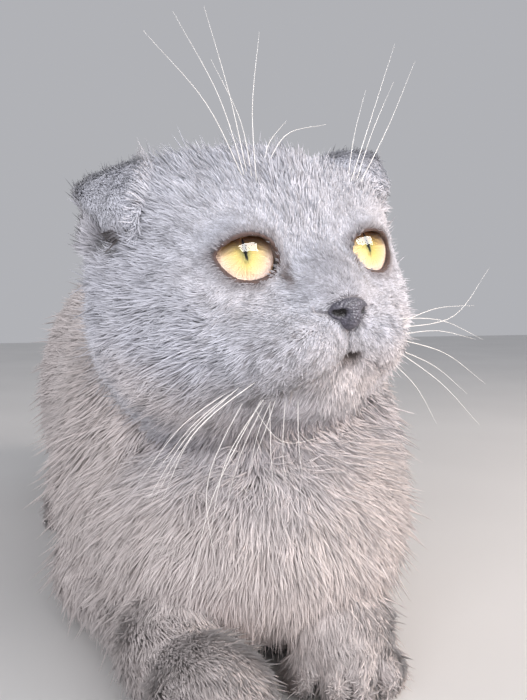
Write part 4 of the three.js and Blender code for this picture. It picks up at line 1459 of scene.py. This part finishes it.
def whisker(side, x, z, angle, reach, bow, back):
    start = on_face(side * x, z, 1)
    c, s = math.cos(math.radians(angle)), math.sin(math.radians(angle))
    aim = unit(np.array([side * c, back, s]))
    bowed = np.array([-side * s, 0, c]) * bow
    line = [start - aim * 3, start, start + aim * reach * 0.5 + bowed, start + aim * reach]
    return from_head(smooth_line(line, WHISKER_POINTS))


# %% Whiskers as tubes
WHISKER_SIDES = 6
# A way that no whisker runs along, to square each tube's rings against
UPWARD = (0.01, 0.02, 1)


def tube(line, radii):
    ways = unit(np.gradient(line, axis=0))
    across = unit(np.cross(ways, UPWARD))
    lift = np.cross(across, ways)
    angle = np.linspace(0, 2 * np.pi, WHISKER_SIDES, endpoint=False)
    rings = across[:, None] * np.cos(angle)[:, None] + lift[:, None] * np.sin(angle)[:, None]
    points = (line[:, None] + rings * radii[:, None, None]).reshape(-1, 3)
    i, j = np.divmod(np.arange((len(line) - 1) * WHISKER_SIDES), WHISKER_SIDES)
    here, k = i * WHISKER_SIDES, (j + 1) % WHISKER_SIDES
    beyond = here + WHISKER_SIDES
    return points, np.stack([here + j, beyond + j, beyond + k, here + k], 1)


def horn_material():
    material, shader = new_material("whisker", 0.32)
    tree = material.node_tree
    horn = ramp(tree, noise(tree, 300.0), (0.3, (0.8, 0.79, 0.78)), (0.7, (0.95, 0.94, 0.93)))
    tree.links.new(horn, shader.inputs["Base Color"])
    return material


lines = [whisker(side, *row, back) for side, rows, back in WHISKER_SETS for row in rows]
tubes = [tube(line, np.linspace(*WHISKER_RADIUS, WHISKER_POINTS)) for line in lines]
points_each = WHISKER_POINTS * WHISKER_SIDES
whisker_faces = np.vstack([faces + i * points_each for i, (_, faces) in enumerate(tubes)])
whiskers = mesh_object("whiskers", np.vstack([points for points, _ in tubes]), whisker_faces)
whiskers.data.materials.append(horn_material())
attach(whiskers, "root")
print("whiskers:", len(lines))

# %% [markdown]
# ## Light and floor
# In the photo soft daylight comes from the front and the right, and both eyes mirror it. A large panel
# gives that light. A second one, which lights nothing but reflections, gives the eyes their catch light. A
# warm panel on the right brightens the throat there, and a soft one on the left the near cheek. Only the
# second one shows in the eyes. The floor is plain and pale.

# %% Lights
def area_light(name, place, aim, size, power, colour=(1, 1, 1)):
    data = bpy.data.lights.new(name, "AREA")
    data.shape = "RECTANGLE"
    data.size, data.size_y = size
    data.energy = power
    data.color = colour
    light = bpy.data.objects.new(name, data)
    light.location = place
    light.rotation_euler = (Vector(aim) - Vector(place)).to_track_quat("-Z", "Y").to_euler()
    bpy.context.scene.collection.objects.link(light)
    return light


# Places and sizes of lights are in metres, and powers in watts
face = from_head([0, -40, 0]) * MM
daylight_way = unit(np.array([0.33, -0.71, 0.62]))
daylight = area_light("daylight", face + daylight_way * 0.95, face, (1.1, 0.6), 4.6, (1, 0.985, 0.97))
catch = area_light("catch_light", face + daylight_way * 0.9, face, (0.95, 0.4), 28)
catch.visible_diffuse = False
warm_side = area_light("warm_side", (0.8, -0.5, 0.3), face, (0.4, 0.4), 6.5, (1, 0.82, 0.7))
fill = area_light("fill", (-0.72, -1.0, 0.5), face, (0.8, 0.6), 6.8, (1, 0.97, 0.97))
for light in (daylight, warm_side, fill):
    light.visible_glossy = False
world = bpy.data.worlds.new("studio")
world.use_nodes = True
background = world.node_tree.nodes["Background"]
background.inputs["Color"].default_value = (0.88, 0.89, 0.94, 1)
background.inputs["Strength"].default_value = 0.5
bpy.context.scene.world = world
bpy.context.scene.view_settings.view_transform = "Standard"

# %% Floor
FLOOR = 4000
FLOOR_CORNERS = np.array([[-1, -1, 0], [1, -1, 0], [1, 1, 0], [-1, 1, 0]])


def floor_material():
    material, shader = new_material("pale_floor", 0.75)
    tree = material.node_tree
    pale = ramp(tree, noise(tree, 6.0), (0.3, (0.66, 0.655, 0.65)), (0.7, (0.7, 0.695, 0.69)))
    tree.links.new(pale, shader.inputs["Base Color"])
    return material


floor = mesh_object("floor", FLOOR_CORNERS * FLOOR / 2, np.array([[0, 1, 2, 3]]))
floor.data.materials.append(floor_material())
print("floor:", FLOOR, "mm wide")
